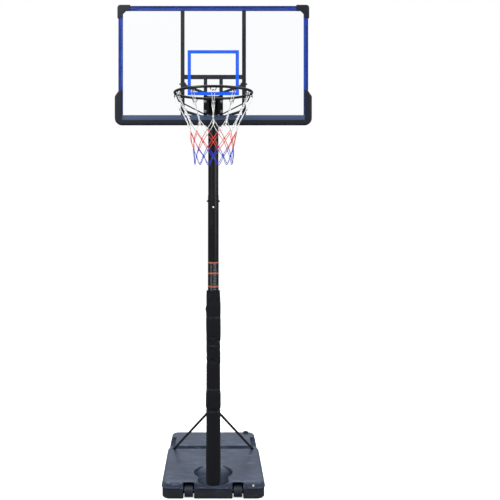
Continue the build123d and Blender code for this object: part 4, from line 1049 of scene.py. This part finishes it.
def hook_leg(turn, side):
    """A strand's way from over a hook's wire to the net, right or left of the hook."""
    wire_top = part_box("net_hooks")[0][2] + HOOK_WIRE
    lift = sizes().cord / 2
    around = (round_rim(turn + 0.01, RIM_RADIUS, 0) - round_rim(turn - 0.01, RIM_RADIUS, 0))
    along = around.normalized() * side * LEG_APART
    inward = RIM_RADIUS - 1 * MM
    return [round_rim(turn, inward - 8 * MM, wire_top + lift - 2 * MM) + along * 0.15,
            round_rim(turn, inward - 6 * MM, wire_top + lift) + along * 0.75,
            round_rim(turn, inward, wire_top + lift + 0.4 * MM) + along,
            round_rim(turn, inward + 5 * MM, wire_top - 3 * MM) + along,
            round_rim(turn, inward + 1 * MM, wire_top - 18 * MM) + along * 0.95]


def net_cord_outline():
    """Outline of a laid cord: three strands that turn as the cord runs."""
    radius = sizes().cord / 2
    lay = sizes().cord_lay

    def outline(distance):
        turn = 2 * math.pi * distance / lay
        lobes = []
        for k in range(12):
            angle = 2 * math.pi * k / 12
            size = radius * (0.88 + 0.12 * math.cos(3 * angle))
            lobes.append((size * math.cos(angle + turn), size * math.sin(angle + turn)))
        return lobes
    return outline


def knot_part(place, outward, size, cord):
    """A tight overhand knot at a place on the net."""
    outward = outward.normalized()
    across = outward.cross(Vector((0, 0, 1))).normalized()
    path = []
    for k in range(40):
        t = 2 * math.pi * k / 40
        x = (math.sin(t) + 2 * math.sin(2 * t)) / 3
        y = (math.cos(t) - 2 * math.cos(2 * t)) / 3
        z = -math.sin(3 * t) / 3
        path.append(place + across * x * size + Vector((0, 0, y * size)) + outward * z * size)
    return sweep(path, lambda distance: ellipse(cord * 0.9, cord * 0.9, 10), outward, True)


def build_net():
    """Makes the net: laid cord in white, red and blue, knotted where it crosses."""
    rng = random.Random(7)
    knots = net_knots(rng)
    parts = {"white": [], "red": [], "blue": []}
    bands = ((WHITE_ROWS - 1, "white"), (RED_ROWS - 1, "red"), (len(NET_ROWS) - 1, "blue"))
    for hook in range(HOOK_COUNT):
        places = strand_points(hook, knots)
        last = (len(places) - 1) // 2
        start = hook_leg(hook, 1)
        end = hook_leg(hook + last, -1)[::-1]
        path = smooth_path([*start, *places, *end], 2.2 * MM)
        at = [min(range(len(path)), key=lambda i: (path[i] - place).length) for place in places]
        marks = [0, at[WHITE_ROWS - 1], at[RED_ROWS - 1], at[2 * last - RED_ROWS + 1],
                 at[2 * last - WHITE_ROWS + 1], len(path) - 1]
        for first, final, tint in zip(marks, marks[1:], ("white", "red", "blue", "red", "white")):
            parts[tint].append(sweep(path[first:final + 1], net_cord_outline()))
    for (row, _), place in knots.items():
        if row == len(NET_ROWS) - 1:
            continue
        tint = next(tint for final, tint in bands if row <= final)
        outward = (place - RIM_CENTRE) * Vector((1, 1, 0))
        parts[tint].append(knot_part(place, outward, sizes().knot, sizes().cord * 0.8))
    for tint, colour in (("white", colours().cord_white), ("red", colours().cord_red),
                         ("blue", colours().cord_blue)):
        cord = braided_cord("laid_polyester_" + tint, colour)
        piece = new_piece("net_" + tint, *merge(parts[tint]), cord, "head")
        if tint == "white":
            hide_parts("net")


# ---- Stage ----
CAMERA_BACK = 4.975     # in front of the pole
CAMERA_HEIGHT = 2.067
CAMERA_LENS = 50.4
CAMERA_SENSOR = 36
CAMERA_SHIFT = (0.0734, -0.0884)
# Each light's place from the middle of the hoop, its width and its power
LIGHTS = (("key", (-3.0, -3.2, 3.2), 2.0, 190), ("fill", (3.6, -2.6, 1.6), 2.5, 90),
          ("top", (0.4, 1.0, 4.0), 3.0, 70))


def soft_light(name, place, aim, width, power):
    """A square area light that faces a point."""
    data = bpy.data.lights.new(name, "AREA")
    data.shape = "SQUARE"
    data.size = width
    data.energy = power
    light = bpy.data.objects.new(name, data)
    light.location = place
    light.rotation_euler = (Vector(aim) - Vector(place)).to_track_quat("-Z", "Y").to_euler()
    bpy.context.scene.collection.objects.link(light)


def build_stage():
    """Sets the floor, the lights and the camera."""
    scene = bpy.context.scene
    material, tree = new_tree("matt_studio_floor")
    seen = add_node(tree, "ShaderNodeLightPath").outputs["Is Camera Ray"]
    tone = spread(tree, pattern(tree, 0.8, 3.0), 0.3, 0.7)
    pale = blend_colour(tree, tone, linear("#ffffff"), linear("#f8f8f8"))
    finish_tree(tree, {
        "Base Color": blend_colour(tree, seen, linear("#6a6c70"), pale), "Roughness": 0.9,
        "Emission Color": linear("#ffffff"),
        "Emission Strength": maths(tree, "MULTIPLY", seen, 0.55)})
    floor = new_piece("floor", [(-9, -9, 0), (9, -9, 0), (9, 12, 0), (-9, 12, 0)],
                      [(0, 1, 2, 3)], material, "base", False)
    world = bpy.data.worlds.new("studio")
    scene.world = world
    world.use_nodes = True
    tree = world.node_tree
    tree.nodes.clear()
    up = axes_of(tree, output="Generated")["Z"]
    room = spread(tree, up, 0.0, 0.75, 0.1, 0.95)
    soft = add_node(tree, "ShaderNodeBackground", inputs={
        "Color": linear("#ffffff"), "Strength": room})
    white = add_node(tree, "ShaderNodeBackground", inputs={"Color": linear("#ffffff")})
    seen = add_node(tree, "ShaderNodeLightPath").outputs["Is Camera Ray"]
    both = add_node(tree, "ShaderNodeMixShader", inputs={
        0: seen, 1: soft.outputs[0], 2: white.outputs[0]})
    add_node(tree, "ShaderNodeOutputWorld", inputs={"Surface": both.outputs[0]})
    low, high = (Vector(corner) for corner in CAD_BOX)
    heart = (low + high) / 2
    for name, place, width, power in LIGHTS:
        soft_light(name, heart + Vector(place), heart, width, power)
    camera = bpy.data.objects.new("camera", bpy.data.cameras.new("camera"))
    camera.location = (0, -CAMERA_BACK, CAMERA_HEIGHT)
    camera.rotation_euler = (math.pi / 2, 0, 0)
    camera.data.lens = CAMERA_LENS
    camera.data.sensor_width = CAMERA_SENSOR
    camera.data.shift_x, camera.data.shift_y = CAMERA_SHIFT
    scene.collection.objects.link(camera)
    scene.camera = camera
    scene.view_settings.view_transform = "Standard"


# ---- Add-on ----
class StepOperator:
    """Shared by the operators: runs the class's build step."""
    bl_options = {"REGISTER", "UNDO"}

    def execute(self, context):
        self.build()
        return {"FINISHED"}


class HOOP_OT_tank(StepOperator, bpy.types.Operator):
    """Makes the softened base tank"""
    bl_idname = "hoop.tank"
    bl_label = "Base tank"
    build = staticmethod(build_tank)


class HOOP_OT_caps(StepOperator, bpy.types.Operator):
    """Finishes the fill cap, the drain plug and the pole's plastic plugs"""
    bl_idname = "hoop.caps"
    bl_label = "Caps and plugs"
    build = staticmethod(build_caps)


class HOOP_OT_wheels(StepOperator, bpy.types.Operator):
    """Finishes the wheels"""
    bl_idname = "hoop.wheels"
    bl_label = "Wheels"
    build = staticmethod(build_wheels)


class HOOP_OT_fasteners(StepOperator, bpy.types.Operator):
    """Finishes the bolts, nuts, screws and the axle"""
    bl_idname = "hoop.fasteners"
    bl_label = "Fasteners"
    build = staticmethod(build_fasteners)


class HOOP_OT_pole(StepOperator, bpy.types.Operator):
    """Finishes the pole's tubes"""
    bl_idname = "hoop.pole"
    bl_label = "Pole"
    build = staticmethod(build_pole)


class HOOP_OT_arms(StepOperator, bpy.types.Operator):
    """Makes the arms with their flattened ends"""
    bl_idname = "hoop.arms"
    bl_label = "Arms"
    build = staticmethod(build_arms)


class HOOP_OT_struts(StepOperator, bpy.types.Operator):
    """Makes the struts with their flattened ends"""
    bl_idname = "hoop.struts"
    bl_label = "Struts"
    build = staticmethod(build_struts)


class HOOP_OT_scale(StepOperator, bpy.types.Operator):
    """Finishes the height scale"""
    bl_idname = "hoop.scale"
    bl_label = "Height scale"
    build = staticmethod(build_scale)


class HOOP_OT_board(StepOperator, bpy.types.Operator):
    """Finishes the board and its tubes"""
    bl_idname = "hoop.board"
    bl_label = "Board"
    build = staticmethod(build_board)


class HOOP_OT_edge_pad(StepOperator, bpy.types.Operator):
    """Makes the soft edge round the board's foot"""
    bl_idname = "hoop.edge_pad"
    bl_label = "Edge pad"
    build = staticmethod(build_edge_pad)


class HOOP_OT_pole_pad(StepOperator, bpy.types.Operator):
    """Makes the pole pad's sewn cover"""
    bl_idname = "hoop.pole_pad"
    bl_label = "Pole pad"
    build = staticmethod(build_pole_pad)


class HOOP_OT_rim(StepOperator, bpy.types.Operator):
    """Finishes the ring, bracket, braces and hooks"""
    bl_idname = "hoop.rim"
    bl_label = "Rim"
    build = staticmethod(build_rim)


class HOOP_OT_net(StepOperator, bpy.types.Operator):
    """Makes the knotted net"""
    bl_idname = "hoop.net"
    bl_label = "Net"
    build = staticmethod(build_net)


class HOOP_OT_stage(StepOperator, bpy.types.Operator):
    """Sets the floor, the lights and the camera"""
    bl_idname = "hoop.stage"
    bl_label = "Stage"
    build = staticmethod(build_stage)


STEPS = (HOOP_OT_tank, HOOP_OT_caps, HOOP_OT_wheels, HOOP_OT_fasteners, HOOP_OT_pole,
         HOOP_OT_struts, HOOP_OT_arms, HOOP_OT_scale, HOOP_OT_board, HOOP_OT_edge_pad,
         HOOP_OT_pole_pad, HOOP_OT_rim, HOOP_OT_net, HOOP_OT_stage)


class HOOP_PT_build(bpy.types.Panel):
    """The hoop's colours, sizes and building steps"""
    bl_label = "Basketball hoop"
    bl_idname = "HOOP_PT_build"
    bl_space_type = "VIEW_3D"
    bl_region_type = "UI"
    bl_category = "Hoop"

    def draw(self, context):
        for group in (context.scene.hoop_colours, context.scene.hoop_sizes):
            for name in group.__annotations__:
                self.layout.prop(group, name)
        for step in STEPS:
            self.layout.operator(step.bl_idname)


def register():
    for item in (HoopColours, HoopSizes, *STEPS, HOOP_PT_build):
        bpy.utils.register_class(item)
    bpy.types.Scene.hoop_colours = bpy.props.PointerProperty(type=HoopColours)
    bpy.types.Scene.hoop_sizes = bpy.props.PointerProperty(type=HoopSizes)


def unregister():
    del bpy.types.Scene.hoop_sizes
    del bpy.types.Scene.hoop_colours
    for item in reversed((HoopColours, HoopSizes, *STEPS, HOOP_PT_build)):
        bpy.utils.unregister_class(item)


def main():
    register()
    for step in STEPS:
        area, name = step.bl_idname.split(".")
        getattr(getattr(bpy.ops, area), name)()


if __name__ == "__main__":
    main()
